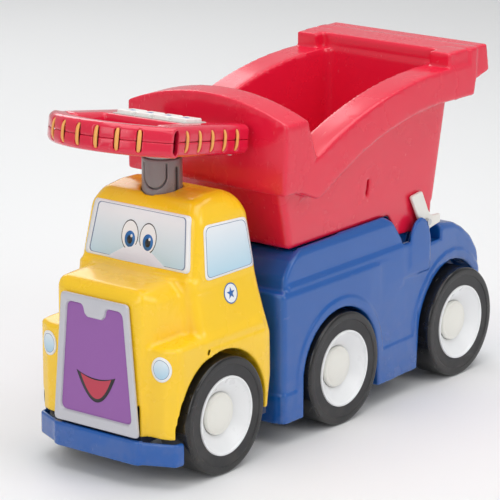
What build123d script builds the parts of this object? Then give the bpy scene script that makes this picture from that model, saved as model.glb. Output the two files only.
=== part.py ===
from build123d import *
import math
import os

# Six-wheeled toy dump truck, millimetres. Front of the truck faces -Y, +X is its left side,
# +Z is up and the ground is z = 0. Lengths along the truck are measured from the middle axle.

MID_AXLE_Y = 5.5            # places the middle axle so that the whole truck is centred on Y
WHEEL_R = 70.0              # rolling radius of every wheel
AXLE_Z = WHEEL_R
AXLES = {"front": -227.5, "middle": 0.0, "rear": 248.0}
SIDES = {"left": 1, "right": -1}
AXLE_R = 5.0
RUN_FIT = 0.05              # radial clearance of every running fit
WHEEL_IN = 62.0             # inner and outer faces of a tyre, measured from the centre plane
WHEEL_OUT = 111.0
HUB_R = 47.0
CAP_R = 25.0

FRAME_HALF = 58.0           # half width of the channel frame
FRAME_BOTTOM = 48.0
FRAME_TOP = 94.0
FRAME_WALL = 4.0
LEDGE_Z = 58.0              # top of the frame's ledges, where the shells stand

WALL = 3.0                  # moulded shell thickness
BODY_BOTTOM = 26.0
CAB_ARCH_R = 77.7
MID_ARCH_R = 74.5
REAR_ARCH_R = 78.0
WELL_IN = 58.4              # inner end wall of a wheel well

BED_WALL = 4.0
BED_FLOOR_Z = 229.0         # underside of the dump bed
BED_FOOT = 89.0             # half width of the bed at its floor
PIVOT = (188.0, 212.0)      # hinge of the dump bed: y, z
ROD_R = 4.0
HINGE_IN = 77.0             # hinge lug of the body, inboard of the bed's tongue
HINGE_OUT = 84.2
LEVER_IN = 92.6
LEVER_OUT = 97.0
EAR_IN = 97.6               # outer hinge ear of the body
EAR_OUT = 101.8

COLUMN_Y = -208.0           # steering column, vertical
COLUMN_R = 23.5
ROOF_Z = 321.0
STEER_Z = 384.0             # seam plane of the steering wheel on the column's axis
STEER_TURN = 5.0            # rest pose: wheel turned a little to the left
STEER_TILT = 9.7            # front edge higher than the rear
ARC_R = 104.0               # outer radius of the wheel's front loop
ARC_V = -44.0               # centre of that loop, ahead of the column
RIM_W = 25.0
RIM_H = 35.0
GRIP_OUT = 80.0
GRIP_W = 29.0
GRIP_FRONT = -98.0
GRIP_REAR = 66.0
CONSOLE_FRONT = -42.0
CONSOLE_REAR = 26.0
CONSOLE_HALF = 54.0
KEY_COUNT = 4
KEY_PITCH = 25.0
KEY_SIZE = (22.0, 34.0)
KEY_TRAVEL = 2.0

os.makedirs("parts", exist_ok=True)


def side(x):
    """Sketch plane seen from the left: local x runs to the rear, local y up."""
    return Plane(origin=(x, MID_AXLE_Y, 0), x_dir=(0, 1, 0), z_dir=(1, 0, 0))


def ahead(y):
    """Sketch plane across the truck: local x to the left, local y up, normal forwards."""
    return Plane(origin=(0, MID_AXLE_Y + y, 0), x_dir=(1, 0, 0), z_dir=(0, -1, 0))


def level(z):
    """Horizontal sketch plane with its origin over the middle axle."""
    return Plane(origin=(0, MID_AXLE_Y, z))


def mirrored(points):
    """A closed outline, symmetric about the centre plane, from its left half."""
    return points + [(-x, y) for x, y in reversed(points)]


def save(builder, name):
    builder.part.label = name
    export_step(builder.part, f"parts/{name}.step")


def prism(plane, points, reach, radius=0.0, corners=None, inset=0.0):
    """Extrude an outline both ways; corners picks the rounded ones by index of the outline."""
    with BuildPart(mode=Mode.PRIVATE) as block:
        with BuildSketch(plane) as outline:
            with BuildLine():
                Polyline(*points, close=True)
            make_face()
            if radius:
                sharp = outline.vertices()
                fillet(sharp if corners is None else near(sharp, points, corners), radius)
            if inset:
                offset(amount=-inset, kind=Kind.INTERSECTION)
        extrude(amount=reach, both=True)
    return block.part


def near(vertices, points, corners):
    """The sketch vertices that stand at the chosen outline points."""
    spots = [Vector(*points[i]) for i in corners]
    return [min(vertices, key=lambda v: (Vector(v) - spot).length) for spot in spots]


def columns(places, radius, z_from, z_to):
    """Upright cylinders at the given (y, x) places on both sides of the truck."""
    with BuildPart(mode=Mode.PRIVATE) as block:
        with BuildSketch(level(z_from)):
            for place_y, place_x in places:
                with Locations((place_x, place_y), (-place_x, place_y)):
                    Circle(radius)
        extrude(amount=z_to - z_from)
    return block.part


def box(x_half, y_from, y_to, z_from, z_to, x_in=0.0):
    """A block across the truck, or one on each side when x_in is given."""
    with BuildPart(mode=Mode.PRIVATE) as block:
        with BuildSketch(level(z_from)):
            if x_in:
                middle = (x_in + x_half) / 2
                with Locations((middle, (y_from + y_to) / 2), (-middle, (y_from + y_to) / 2)):
                    Rectangle(x_half - x_in, y_to - y_from)
            else:
                with Locations((0, (y_from + y_to) / 2)):
                    Rectangle(2 * x_half, y_to - y_from)
        extrude(amount=z_to - z_from)
    return block.part


def pair(x_in, x_out, points, radius=0.0):
    """The same upright plate on each side of the truck, from its side outline."""
    with BuildPart(mode=Mode.PRIVATE) as block:
        for sign in SIDES.values():
            with BuildSketch(side(sign * x_in)) as outline:
                with BuildLine():
                    Polyline(*points, close=True)
                make_face()
                if radius:
                    fillet(outline.vertices(), radius)
            extrude(amount=sign * (x_out - x_in))
    return block.part


# ---------------------------------------------------------------- frame and axles

# Cross ledges that carry the cab shell and the body shell: y, half width, half length.
LEDGES = [(-311.0, 60.0, 8.5), (-144.0, 98.0, 5.0), (-103.0, 97.0, 8.0), (122.0, 92.0, 13.0)]
CAB_SCREWS = [(-313.0, 45.0), (-144.5, 92.0)]
BODY_SCREWS = [(-103.0, 90.0), (122.0, 86.0)]
SCREW_R = 1.6
BUMPER_SCREWS = [(-312.0, 20.0)]
FRAME_FRONT = -303.0
FRAME_REAR = 333.0
FIT = 0.2                   # gap between parts that are screwed together

with BuildPart() as chassis_frame:
    add(box(FRAME_HALF, FRAME_FRONT, FRAME_REAR, FRAME_BOTTOM, FRAME_TOP))
    channel = box(FRAME_HALF - FRAME_WALL, FRAME_FRONT + FRAME_WALL, FRAME_REAR - FRAME_WALL, 0,
                  FRAME_TOP - FRAME_WALL)
    add(channel, mode=Mode.SUBTRACT)
    for ledge_y, ledge_half, ledge_w in LEDGES:
        add(box(ledge_half, ledge_y - ledge_w, ledge_y + ledge_w, FRAME_BOTTOM, LEDGE_Z))
    for axle_y in AXLES.values():
        with BuildSketch(side(-FRAME_HALF)):
            with Locations((axle_y, AXLE_Z)):
                Circle(AXLE_R + RUN_FIT)
        extrude(amount=2 * FRAME_HALF, mode=Mode.SUBTRACT)
    add(columns(CAB_SCREWS + BODY_SCREWS + BUMPER_SCREWS, SCREW_R, 0, LEDGE_Z + 1), mode=Mode.SUBTRACT)
save(chassis_frame, "chassis_frame")

AXLE_HALF = 99.5
for axle_name, axle_y in AXLES.items():
    with BuildPart() as axle:
        with BuildSketch(side(-AXLE_HALF)):
            with Locations((axle_y, AXLE_Z)):
                Circle(AXLE_R)
        extrude(amount=2 * AXLE_HALF)
        chamfer(axle.edges().filter_by(GeomType.CIRCLE), 1.0)
    save(axle, f"{axle_name}_axle")


def rings(outer, inner, x_from, x_to):
    """One washer or push nut on each end of each axle."""
    with BuildPart(mode=Mode.PRIVATE) as group:
        for axle_y in AXLES.values():
            for sign in SIDES.values():
                with BuildSketch(side(sign * x_from)):
                    with Locations((axle_y, AXLE_Z)):
                        Circle(outer)
                        Circle(inner, mode=Mode.SUBTRACT)
                extrude(amount=sign * (x_to - x_from))
    return group.part


WASHER_R = 9.0
NUT_R = 8.5
NUT_SPAN = (96.3, 97.7)
with BuildPart() as axle_washers:
    add(rings(WASHER_R, AXLE_R + RUN_FIT, FRAME_HALF + FIT, FRAME_HALF + 1.6))
save(axle_washers, "axle_washers")
with BuildPart() as axle_push_nuts:
    add(rings(NUT_R, AXLE_R, *NUT_SPAN))
save(axle_push_nuts, "axle_push_nuts")


# ---------------------------------------------------------------- wheels

def turned(axle_y, sign):
    """Plane and axis for turning an outline of (radius, distance from the centre plane)."""
    plane = Plane(origin=(0, MID_AXLE_Y + axle_y, AXLE_Z), x_dir=(0, 0, 1), z_dir=(0, sign, 0))
    axis = Axis((0, MID_AXLE_Y + axle_y, AXLE_Z), (1, 0, 0))
    return plane, axis


TYRE_SHOULDER = 15.0
TYRE_WALL = 4.0             # the tyre is blow moulded round a closed hollow
TYRE_BORE = HUB_R + 0.1
TYRE_FACE = WHEEL_OUT - 0.5
HUB_SLEEVE_R = 11.0
# Outlines for turning: radius, distance from the centre plane.
HUB_OUTLINE = [(HUB_R, WHEEL_OUT), (HUB_R, WHEEL_IN + 1), (44, WHEEL_IN + 1), (44, 104.5), (CAP_R + 1, 92.5),
               (HUB_SLEEVE_R, 92.5), (HUB_SLEEVE_R, 60), (AXLE_R + RUN_FIT, 60), (AXLE_R + RUN_FIT, 96),
               (CAP_R + 1, 96)]
CAP_CROWN = [(0, 103.5), (14, 102.3), (CAP_R, 98.2)]
CAP_INSIDE = [(CAP_R, 98.2), (CAP_R, 96), (10, 96), (10, 100.5), (0, 100.5)]

for axle_name, axle_y in AXLES.items():
    for side_name, sign in SIDES.items():
        plane, axis = turned(axle_y, sign)
        with BuildPart() as tyre:
            with BuildSketch(plane) as section:
                with BuildLine():
                    Polyline((TYRE_BORE, WHEEL_IN), (WHEEL_R, WHEEL_IN), (WHEEL_R, TYRE_FACE),
                             (TYRE_BORE, TYRE_FACE), close=True)
                make_face()
                fillet(section.vertices().group_by(Axis.X)[-1], TYRE_SHOULDER)
                offset(section.sketch_local, amount=-TYRE_WALL, mode=Mode.SUBTRACT)
            revolve(axis=axis)
        save(tyre, f"{axle_name}_{side_name}_tyre")
        with BuildPart() as hub:
            with BuildSketch(plane):
                with BuildLine():
                    Polyline(*HUB_OUTLINE, close=True)
                make_face()
            revolve(axis=axis)
        save(hub, f"{axle_name}_{side_name}_hub")
        with BuildPart() as cap:
            with BuildSketch(plane):
                with BuildLine():
                    ThreePointArc(*CAP_CROWN)
                    Polyline(*CAP_INSIDE, CAP_CROWN[0])
                make_face()
            revolve(axis=axis)
        save(cap, f"{axle_name}_{side_name}_hub_cap")


# ---------------------------------------------------------------- cab

HOUSE_SIDE = [(-262, 10), (-262, 232), (-256, 236), (-243, 304), (-232, 316), (-205, ROOF_Z + 1),
              (-178, ROOF_Z), (-158, 312), (-150, 292), (-141, 234), (-134, 148), (-133, 98), (-139, 58),
              (-140, 10)]
HOUSE_FRONT = mirrored([(106, 10), (106, 158), (98.5, 178), (92, 204), (88, 221), (82, 298), (64, 328)])
HOOD_SIDE = [(-326, 10), (-326, 214), (-318, 228), (-256, 236), (-200, 240), (-200, 10)]
HOOD_FRONT = mirrored([(86, 10), (86, 168), (80, 190), (73, 216), (56, 232), (30, 238)])
HOOD_PLAN = mirrored([(50, -326), (63, -320), (71, -302), (80, -256), (86, -200)])
FENDER_SIDE = [(-316, 10), (-316, 164), (-306, 165.5), (-206, 176), (-180, 176), (-180, 10)]
FENDER_PLAN = mirrored([(61, -315.5), (103, -306.5), (106, -300), (106, -180)])
FENDER_FRONT = mirrored([(106, 10), (105, 164), (83, 178)])


def cab_volume(inset):
    """Outer form of the cab, or the same form drawn in by a wall's thickness."""
    with BuildPart(mode=Mode.PRIVATE) as volume:
        add(prism(side(0), HOUSE_SIDE, 110, inset=inset))
        add(prism(ahead(-200), HOUSE_FRONT, 200, 16, [3, 5, 6, 7, 8, 10], inset), mode=Mode.INTERSECT)
        with BuildPart(mode=Mode.PRIVATE) as hood:
            add(prism(side(0), HOOD_SIDE, 110, inset=inset))
            add(prism(ahead(-200), HOOD_FRONT, 200, 8, [2, 3, 4, 7, 8, 9], inset), mode=Mode.INTERSECT)
            add(prism(level(120), HOOD_PLAN, 200, inset=inset), mode=Mode.INTERSECT)
        add(hood.part)
        with BuildPart(mode=Mode.PRIVATE) as fender:
            add(prism(side(0), FENDER_SIDE, 110, inset=inset))
            add(prism(level(120), FENDER_PLAN, 200, inset=inset), mode=Mode.INTERSECT)
            add(prism(ahead(-200), FENDER_FRONT, 200, inset=inset), mode=Mode.INTERSECT)
        add(fender.part)
    return volume.part


def well(axle_y, radius, inner, front_leg, rear_leg):
    """A wheel well on both sides: round over the axle, straight legs below it."""
    with BuildPart(mode=Mode.PRIVATE) as block:
        for sign in SIDES.values():
            with BuildSketch(side(sign * inner)):
                with Locations((axle_y, AXLE_Z)):
                    Circle(radius)
                with BuildLine():
                    Polyline((axle_y - radius, AXLE_Z), (axle_y - front_leg, 0), (axle_y + rear_leg, 0),
                             (axle_y + radius, AXLE_Z), close=True)
                make_face()
            extrude(amount=sign * 60)
    return block.part


AXLE_HOLE_R = 13.0
HEAD_R = 3.2
HEAD_T = 2.0
SHELL_SCREW = 18.0          # length under the head
BOSS_TOP = LEDGE_Z + 9
SCREW_TOP = LEDGE_Z + 12


def axle_holes():
    """Clearance holes for the axles and their washers in the wheel wells' end walls."""
    with BuildPart(mode=Mode.PRIVATE) as block:
        for axle_y in AXLES.values():
            with BuildSketch(side(-70)):
                with Locations((axle_y, AXLE_Z)):
                    Circle(AXLE_HOLE_R)
            extrude(amount=140)
    return block.part


def screws(places, z_head, length):
    """Pan-head screws driven up from below, one solid each."""
    with BuildPart(mode=Mode.PRIVATE) as group:
        add(columns(places, HEAD_R, z_head - HEAD_T, z_head))
        add(columns(places, SCREW_R, z_head, z_head + length))
    return group.part


with BuildPart() as cab_cavity:
    add(cab_volume(WALL))
    add(well(AXLES["front"], CAB_ARCH_R + WALL, WELL_IN, CAB_ARCH_R, CAB_ARCH_R), mode=Mode.SUBTRACT)

with BuildPart() as cab_shell:
    add(cab_volume(0))
    add(cab_cavity.part, mode=Mode.SUBTRACT)
    add(box(54, -324, -305, LEDGE_Z, BOSS_TOP, 36))
    add(box(104, -149.5, -139.5, LEDGE_Z, BOSS_TOP, 86))
    add(well(AXLES["front"], CAB_ARCH_R, WELL_IN + WALL, CAB_ARCH_R, CAB_ARCH_R), mode=Mode.SUBTRACT)
    add(columns(CAB_SCREWS, SCREW_R, LEDGE_Z, SCREW_TOP), mode=Mode.SUBTRACT)
    add(axle_holes(), mode=Mode.SUBTRACT)
    add(box(FRAME_HALF + FIT, FRAME_FRONT - 1, -100, 0, FRAME_TOP + FIT), mode=Mode.SUBTRACT)
    add(box(200, -400, 500, 0, LEDGE_Z + FIT), mode=Mode.SUBTRACT)
    with BuildSketch(level(ROOF_Z - 30)):
        with Locations((0, COLUMN_Y)):
            Circle(COLUMN_R + FIT)
    extrude(amount=60, mode=Mode.SUBTRACT)
save(cab_shell, "cab_shell")
with BuildPart() as cab_screws:
    add(screws(CAB_SCREWS, FRAME_BOTTOM, SHELL_SCREW))
save(cab_screws, "cab_screws")


# ---------------------------------------------------------------- dump body

BODY_SIDE = [(-118, 5), (-118, 187), (190, 187), (203, 199), (235, 199.5), (262, 195), (284, 184), (305, 169),
             (323, 147), (334, 122), (338, 96), (338, 44), (330, 5)]
BODY_PLAN = mirrored([(96, -118), (104, -112), (104, 60), (98, 190), (91, 262), (86, 322), (70, 338)])
RAIL_SIDE = [(-109, 150), (-104, 203), (-91, 221), (-72, 233), (100, 238), (114.7, 227.6), (136.4, 200),
             (137, 150)]
RAIL_FRONT = mirrored([(99, 100), (99, 227), (90, 242)])
DECK_Z = BED_FLOOR_Z - 0.3
SEAT_HALF = BED_FOOT + 1.6  # the bed stands between the two rails
BAY = (108.0, 224.0)        # the bay where the bed's tongues turn: its ends and its floor
BAY_FLOOR = 180.0
SLOT_FRONT = 150.0          # the lever's slot opens outwards behind the ear
EAR_REAR = 192.0
EAR = [(148, 170), (150, 204), (158, 217), (170, 222.5), (181, 217), (188, 207), (EAR_REAR, 190),
       (EAR_REAR, 170)]
HINGE_LUG = [(166, 178), (177, 212), (182, 222), (194, 222), (199, 212), (210, 178)]


def body_volume(inset):
    """Outer form of the body with its two rails, or the form drawn in by a wall."""
    seat = SEAT_HALF + inset
    with BuildPart(mode=Mode.PRIVATE) as volume:
        add(prism(side(0), BODY_SIDE, 110, inset=inset))
        add(prism(level(100), BODY_PLAN, 200, inset=inset), mode=Mode.INTERSECT)
        with BuildPart(mode=Mode.PRIVATE) as rail:
            add(prism(side(0), RAIL_SIDE, 110, 8, [2, 3, 4, 5], inset))
            add(prism(ahead(0), RAIL_FRONT, 300, 6, [1, 4], inset), mode=Mode.INTERSECT)
        add(rail.part)
        add(box(seat, -300, 400, DECK_Z - inset, 300), mode=Mode.SUBTRACT)
        add(box(seat, BAY[0] - inset, BAY[1] + inset, BAY_FLOOR - inset, 300), mode=Mode.SUBTRACT)
        add(box(EAR_IN + inset, SLOT_FRONT - inset, BAY[1] + inset, BAY_FLOOR - inset, 300),
            mode=Mode.SUBTRACT)
        add(box(120, EAR_REAR - inset, BAY[1] + inset, BAY_FLOOR + 2 - inset, 300), mode=Mode.SUBTRACT)
    return volume.part


def body_wells(grow, inner):
    """Both pairs of rear wheel wells."""
    with BuildPart(mode=Mode.PRIVATE) as block:
        add(well(AXLES["middle"], MID_ARCH_R + grow, inner, 75 + grow, 84 + grow))
        add(well(AXLES["rear"], REAR_ARCH_R + grow, inner, 87 + grow, 82 + grow))
    return block.part


with BuildPart() as body_cavity:
    add(body_volume(WALL))
    add(body_wells(WALL, WELL_IN), mode=Mode.SUBTRACT)

with BuildPart() as body_shell:
    add(body_volume(0))
    add(body_cavity.part, mode=Mode.SUBTRACT)
    add(pair(EAR_IN, EAR_OUT, EAR))
    add(pair(HINGE_IN, HINGE_OUT, HINGE_LUG, 3))
    add(box(102, -116, -92, LEDGE_Z, BOSS_TOP, 78))
    add(box(98, 108, 136, LEDGE_Z, BOSS_TOP, 74))
    add(body_wells(0, WELL_IN + WALL), mode=Mode.SUBTRACT)
    add(columns(BODY_SCREWS, SCREW_R, LEDGE_Z, SCREW_TOP), mode=Mode.SUBTRACT)
    add(axle_holes(), mode=Mode.SUBTRACT)
    add(box(FRAME_HALF + FIT, -200, FRAME_REAR + 1, 0, FRAME_TOP + FIT), mode=Mode.SUBTRACT)
    for ledge_y, ledge_half, ledge_w in LEDGES:
        add(box(ledge_half + 0.5, ledge_y - ledge_w - 0.5, ledge_y + ledge_w + 0.5, 0, LEDGE_Z + FIT),
            mode=Mode.SUBTRACT)
    add(box(200, -400, 500, -100, BODY_BOTTOM), mode=Mode.SUBTRACT)
    with BuildSketch(side(-110)):
        with Locations(PIVOT):
            Circle(ROD_R + RUN_FIT)
    extrude(amount=220, mode=Mode.SUBTRACT)
save(body_shell, "body_shell")
with BuildPart() as body_screws:
    add(screws(BODY_SCREWS, FRAME_BOTTOM, SHELL_SCREW))
save(body_screws, "body_screws")

with BuildPart() as hinge_rod:
    with BuildSketch(side(-EAR_OUT)):
        with Locations(PIVOT):
            Circle(ROD_R)
    extrude(amount=2 * EAR_OUT)
save(hinge_rod, "hinge_rod")


# ---------------------------------------------------------------- bumpers

BUMPER_OUT = mirrored([(97, -300), (104.5, -300), (103, -311), (68, -326), (60, -331)])
BUMPER_IN = mirrored([(98, -280), (99.3, -300), (98.2, -307.5), (66, -321), (58, -326)])
BUMPER_MIDDLE = 41.0
BUMPER_HALF = 14.0
TAB_T = 4.0
with BuildPart() as front_bumper:
    add(prism(level(BUMPER_MIDDLE), BUMPER_OUT, BUMPER_HALF))
    add(prism(level(BUMPER_MIDDLE), BUMPER_IN, 2 * BUMPER_HALF), mode=Mode.SUBTRACT)
    add(box(30, -328, -305, FRAME_BOTTOM - FIT - TAB_T, FRAME_BOTTOM - FIT, 10))
    add(columns(BUMPER_SCREWS, SCREW_R, 20, 60), mode=Mode.SUBTRACT)
save(front_bumper, "front_bumper")
with BuildPart() as bumper_screws:
    add(screws(BUMPER_SCREWS, FRAME_BOTTOM - FIT - TAB_T, 12))
save(bumper_screws, "bumper_screws")

REAR_PLATE = (156.0, 36.0, 6.0)
REAR_PLATE_Z = 68.0
with BuildPart() as rear_bumper:
    with BuildSketch(ahead(338.2)):
        with Locations((0, REAR_PLATE_Z)):
            RectangleRounded(REAR_PLATE[0], REAR_PLATE[1], 8)
    extrude(amount=-REAR_PLATE[2])
save(rear_bumper, "rear_bumper")


# ---------------------------------------------------------------- cab trim

GRILLE_OUT = mirrored([(63.7, 58.8), (49.8, 214.3)])
GRILLE_IN = mirrored([(52.5, 75), (41, 202)])
GRILLE_BACK = -326.2
GRILLE_T = 3.8
PANEL_T = 2.2
TRIM_CORNER = 7.0


def trapezoid(points, radius):
    """Sketch face of a rounded outline in the current sketch."""
    with BuildSketch(mode=Mode.PRIVATE) as face:
        with BuildLine():
            Polyline(*points, close=True)
        make_face()
        fillet(face.vertices(), radius)
    return face.sketch


with BuildPart() as grille_surround:
    with BuildSketch(ahead(GRILLE_BACK)):
        add(trapezoid(GRILLE_OUT, TRIM_CORNER))
        add(trapezoid(GRILLE_IN, TRIM_CORNER), mode=Mode.SUBTRACT)
    extrude(amount=GRILLE_T)
save(grille_surround, "grille_surround")
with BuildPart() as grille_panel:
    with BuildSketch(ahead(GRILLE_BACK)):
        add(offset(trapezoid(GRILLE_IN, TRIM_CORNER), amount=-FIT, mode=Mode.PRIVATE))
    extrude(amount=PANEL_T)
save(grille_panel, "grille_panel")

# The sticker planes lie on the sloping windshield and on the sides of the cab.
SHIELD_FOOT = Vector(0, MID_AXLE_Y - 256, 236)
SHIELD_TOP = Vector(0, MID_AXLE_Y - 243, 304)
SHIELD_NORMAL = (SHIELD_TOP - SHIELD_FOOT).cross(Vector(1, 0, 0)) * -1
SHIELD_PLANE = Plane(origin=SHIELD_FOOT + SHIELD_NORMAL.normalized() * 0.05, x_dir=(1, 0, 0),
                     z_dir=SHIELD_NORMAL)
SHIELD = mirrored([(79.5, 2), (71.5, 68)])
LABEL_T = 0.5

with BuildPart() as windshield_label:
    with BuildSketch(SHIELD_PLANE):
        add(trapezoid(SHIELD, 6))
    extrude(amount=LABEL_T)
save(windshield_label, "windshield_label")

# Along the truck, and up the cab side from its crease.
WINDOW = [(-238, 7), (-235, 72), (-156, 67), (-146, 7)]
CREASE = (88.0, 221.0)
SIDE_LEAN = (-6.0, 77.0)
for side_name, sign in SIDES.items():
    rear = Vector(0, 1, 0)
    normal = rear.cross(Vector(sign * SIDE_LEAN[0], 0, SIDE_LEAN[1]))
    low = Vector(sign * CREASE[0], MID_AXLE_Y, CREASE[1])
    plane = Plane(origin=low + normal.normalized() * sign * 0.1, x_dir=rear, z_dir=normal)
    with BuildPart() as side_window:
        with BuildSketch(plane):
            add(trapezoid(WINDOW, 6))
        extrude(amount=sign * LABEL_T)
    save(side_window, f"{side_name}_window_label")


LAMP = (83.8, -310.62, 141.6)
LAMP_TALL = 1.18            # the lamps are taller than they are wide


def headlights(outer, inner, thick):
    """One ring or disc on each fender's sloping front face."""
    with BuildPart(mode=Mode.PRIVATE) as block:
        for sign in SIDES.values():
            normal = Vector(sign * 9, -42, 0).normalized()
            spot = Vector(sign * LAMP[0], MID_AXLE_Y + LAMP[1], LAMP[2]) + normal * 0.1
            with BuildSketch(Plane(origin=spot, x_dir=(0, 0, 1), z_dir=normal)):
                Ellipse(outer * LAMP_TALL, outer)
                if inner:
                    Ellipse(inner * LAMP_TALL, inner, mode=Mode.SUBTRACT)
            extrude(amount=thick)
    return block.part


with BuildPart() as headlight_rings:
    add(headlights(12.5, 9.8, 1.2))
save(headlight_rings, "headlight_rings")
with BuildPart() as headlight_lenses:
    add(headlights(9.6, 0, 0.9))
save(headlight_lenses, "headlight_lenses")


# ---------------------------------------------------------------- dump bed

BED_TOP = 440.0             # the blank is tall; its rim is cut to shape afterwards
BED_SIDE = [(-84, BED_FLOOR_Z), (-112, 312), (-112, BED_TOP), (222, BED_TOP), (220, 358), (215, BED_FLOOR_Z)]
BED_FRONT = mirrored([(BED_FOOT, BED_FLOOR_Z), (104, 362), (104, BED_TOP)])
BAND_SIDE = [(-130, 309.5), (-98, 308), (-62, 293), (-23, 313), (16, 331), (56, 345), (98, 355), (139, 362),
             (182, 365), (256.5, 364), (260, 382), (262, BED_TOP), (-127, BED_TOP)]
BAND_FRONT = mirrored([(118, 280), (121, BED_TOP)])
LIP_SIDE = [(217, 364), (256.5, 364), (260, 382), (291, 390), (285, 424.5), (217, 424.5)]
LIP_HALF = 117.5
LIP_TOP = 424.5
LIP_HOLLOW = [(226, 369), (253, 369), (256.5, 386), (286, 394), (281.5, 420.5), (226, 420.5)]
GUSSET_IN = 87.0            # the lip comes forward at both ends
GUSSET_FRONT = 202.0
LOAD_FLOOR = BED_FLOOR_Z + BED_WALL
LOAD_SIDE = [(-62, LOAD_FLOOR), (-86.5, 392), (-86.5, 500), (217, 500), (217, 400), (206, LOAD_FLOOR)]
LOAD_FRONT = mirrored([(71, LOAD_FLOOR), (80, 392), (80, 500)])
LOAD_PLAN = [(-80, -86.5), (80, -86.5), (80, 217), (-80, 217)]
RIM_SPAN = [(-86.5, 500), (-86.5, 392), (-68.7, 344.8)]
RIM_REAR = [(GUSSET_FRONT, 406.3), (245, 406.3), (245, LIP_TOP), (320, LIP_TOP), (320, 500)]
TONGUE = [(112, 236), (137.8, 204.6), (176, 201), (188, 199), (199, 204), (207, 216), (209, 236)]
BED_SLOT = (66.0, 279.0)    # drain slot in each side wall: y, z


def bed_volume(inset):
    """Outer form of the bed's blank, or the form drawn in by a wall."""
    with BuildPart(mode=Mode.PRIVATE) as volume:
        add(prism(side(0), BED_SIDE, 130, inset=inset))
        add(prism(ahead(0), BED_FRONT, 400, inset=inset), mode=Mode.INTERSECT)
        with BuildPart(mode=Mode.PRIVATE) as band:
            add(prism(side(0), BAND_SIDE, 130, inset=inset))
            add(prism(ahead(0), BAND_FRONT, 400, inset=inset), mode=Mode.INTERSECT)
        add(band.part)
    return volume.part


with BuildPart() as rim_cut:
    with BuildSketch(side(0)):
        with BuildLine():
            Polyline(*RIM_SPAN)
            ThreePointArc(RIM_SPAN[-1], (40, 386), RIM_REAR[0])
            Polyline(*RIM_REAR, RIM_SPAN[0])
        make_face()
    extrude(amount=150, both=True)
    with BuildSketch(ahead(-86.5)):
        with BuildLine():
            ThreePointArc((-121, 391.8), (0, 417), (121, 391.8))
            Polyline((121, 391.8), (150, 391.8), (150, 500), (-150, 500), (-150, 391.8), (-121, 391.8))
        make_face()
    extrude(amount=80)

def load_space(inset):
    """The space for the load: tapered, with soft upright corners."""
    with BuildPart(mode=Mode.PRIVATE) as volume:
        add(prism(side(0), LOAD_SIDE, 130, inset=inset))
        add(prism(ahead(0), LOAD_FRONT, 400, inset=inset), mode=Mode.INTERSECT)
        add(prism(level(300), LOAD_PLAN, 300, 18, inset=inset), mode=Mode.INTERSECT)
    return volume.part


# The bed is moulded hollow: an outer skin, an inner one round the load, and a broad rim between them.
with BuildPart() as bed_hollow:
    add(bed_volume(BED_WALL))
    for shift in (-BED_WALL, 0, BED_WALL):
        add(rim_cut.part.moved(Location((0, shift, -BED_WALL))), mode=Mode.SUBTRACT)
    add(load_space(-BED_WALL), mode=Mode.SUBTRACT)

with BuildPart() as dump_bed:
    add(bed_volume(0))
    add(rim_cut.part, mode=Mode.SUBTRACT)
    add(prism(side(0), LIP_SIDE, LIP_HALF))
    add(box(LIP_HALF, GUSSET_FRONT, 230, 395, LIP_TOP, GUSSET_IN))
    add(load_space(0), mode=Mode.SUBTRACT)
    add(bed_hollow.part, mode=Mode.SUBTRACT)
    add(prism(side(0), LIP_HOLLOW, LIP_HALF - BED_WALL), mode=Mode.SUBTRACT)
    add(pair(BED_FOOT - BED_WALL, BED_FOOT, TONGUE))
    with BuildSketch(side(-110)):
        with Locations(PIVOT):
            Circle(ROD_R + RUN_FIT)
    extrude(amount=220, mode=Mode.SUBTRACT)
    for sign in SIDES.values():
        with BuildSketch(side(sign * 110)):
            with Locations(BED_SLOT):
                SlotOverall(22, 4.4, rotation=90)
        extrude(amount=sign * -17, mode=Mode.SUBTRACT)
save(dump_bed, "dump_bed")

LEVER = [(154, 250), (177.5, 253), (195, 219), (199, 217.5), (217.5, 216.5), (218, 205.5), (190, 201),
         (178, 207)]
LEVER_EYE_R = 11.0
with BuildPart() as dump_lever:
    with BuildSketch(side(LEVER_IN)):
        with Locations(PIVOT):
            Circle(LEVER_EYE_R)
        with BuildLine():
            Polyline(*LEVER, close=True)
        make_face()
    extrude(amount=LEVER_OUT - LEVER_IN)
    with BuildSketch(side(LEVER_IN)):
        with Locations(PIVOT):
            Circle(ROD_R + RUN_FIT)
    extrude(amount=LEVER_OUT - LEVER_IN, mode=Mode.SUBTRACT)
save(dump_lever, "dump_lever")


# ---------------------------------------------------------------- steering column and wheel

SLEEVE_BOTTOM = 300.0
SLEEVE_TOP = 356.0
SLEEVE_FLANGE_R = 27.0
SHAFT_R = 19.5
SHAFT_WALL = 3.5
FINGER_GAP = 2.0
FINGER = (26.0, 34.0)
FINGER_CUT = (FINGER[0] + 2 * FINGER_GAP, FINGER[1] + 2 * FINGER_GAP)
FINGER_CORNER = 10.0
FINGER_ROOT = 12.0
FINGER_ANGLE = -75.0
FINGER_Z = 340.0
SLEEVE_SLOT = (6.0, 26.0)
SLOT_ANGLE = -3.0
SLOT_Z = 335.0
TURN = math.radians(STEER_TURN)
TILT = math.radians(STEER_TILT)
WHEEL_U = Vector(math.cos(TURN), math.sin(TURN), 0)
WHEEL_V = Vector(-math.sin(TURN) * math.cos(TILT), math.cos(TURN) * math.cos(TILT), -math.sin(TILT))
WHEEL_UP = WHEEL_U.cross(WHEEL_V)
SHELL_T = 2.5
SEAM = 0.05                 # half the gap between the two half shells
RIM_EDGE = 6.0
BOARD_H = 2.0
BOARD_T = 1.6


def rim(height):
    """Sketch plane of the steering wheel: local x to its left grip, local y to its rear."""
    origin = Vector(0, MID_AXLE_Y + COLUMN_Y, STEER_Z) + WHEEL_UP * height
    return Plane(origin=origin, x_dir=WHEEL_U, z_dir=WHEEL_UP)


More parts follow.
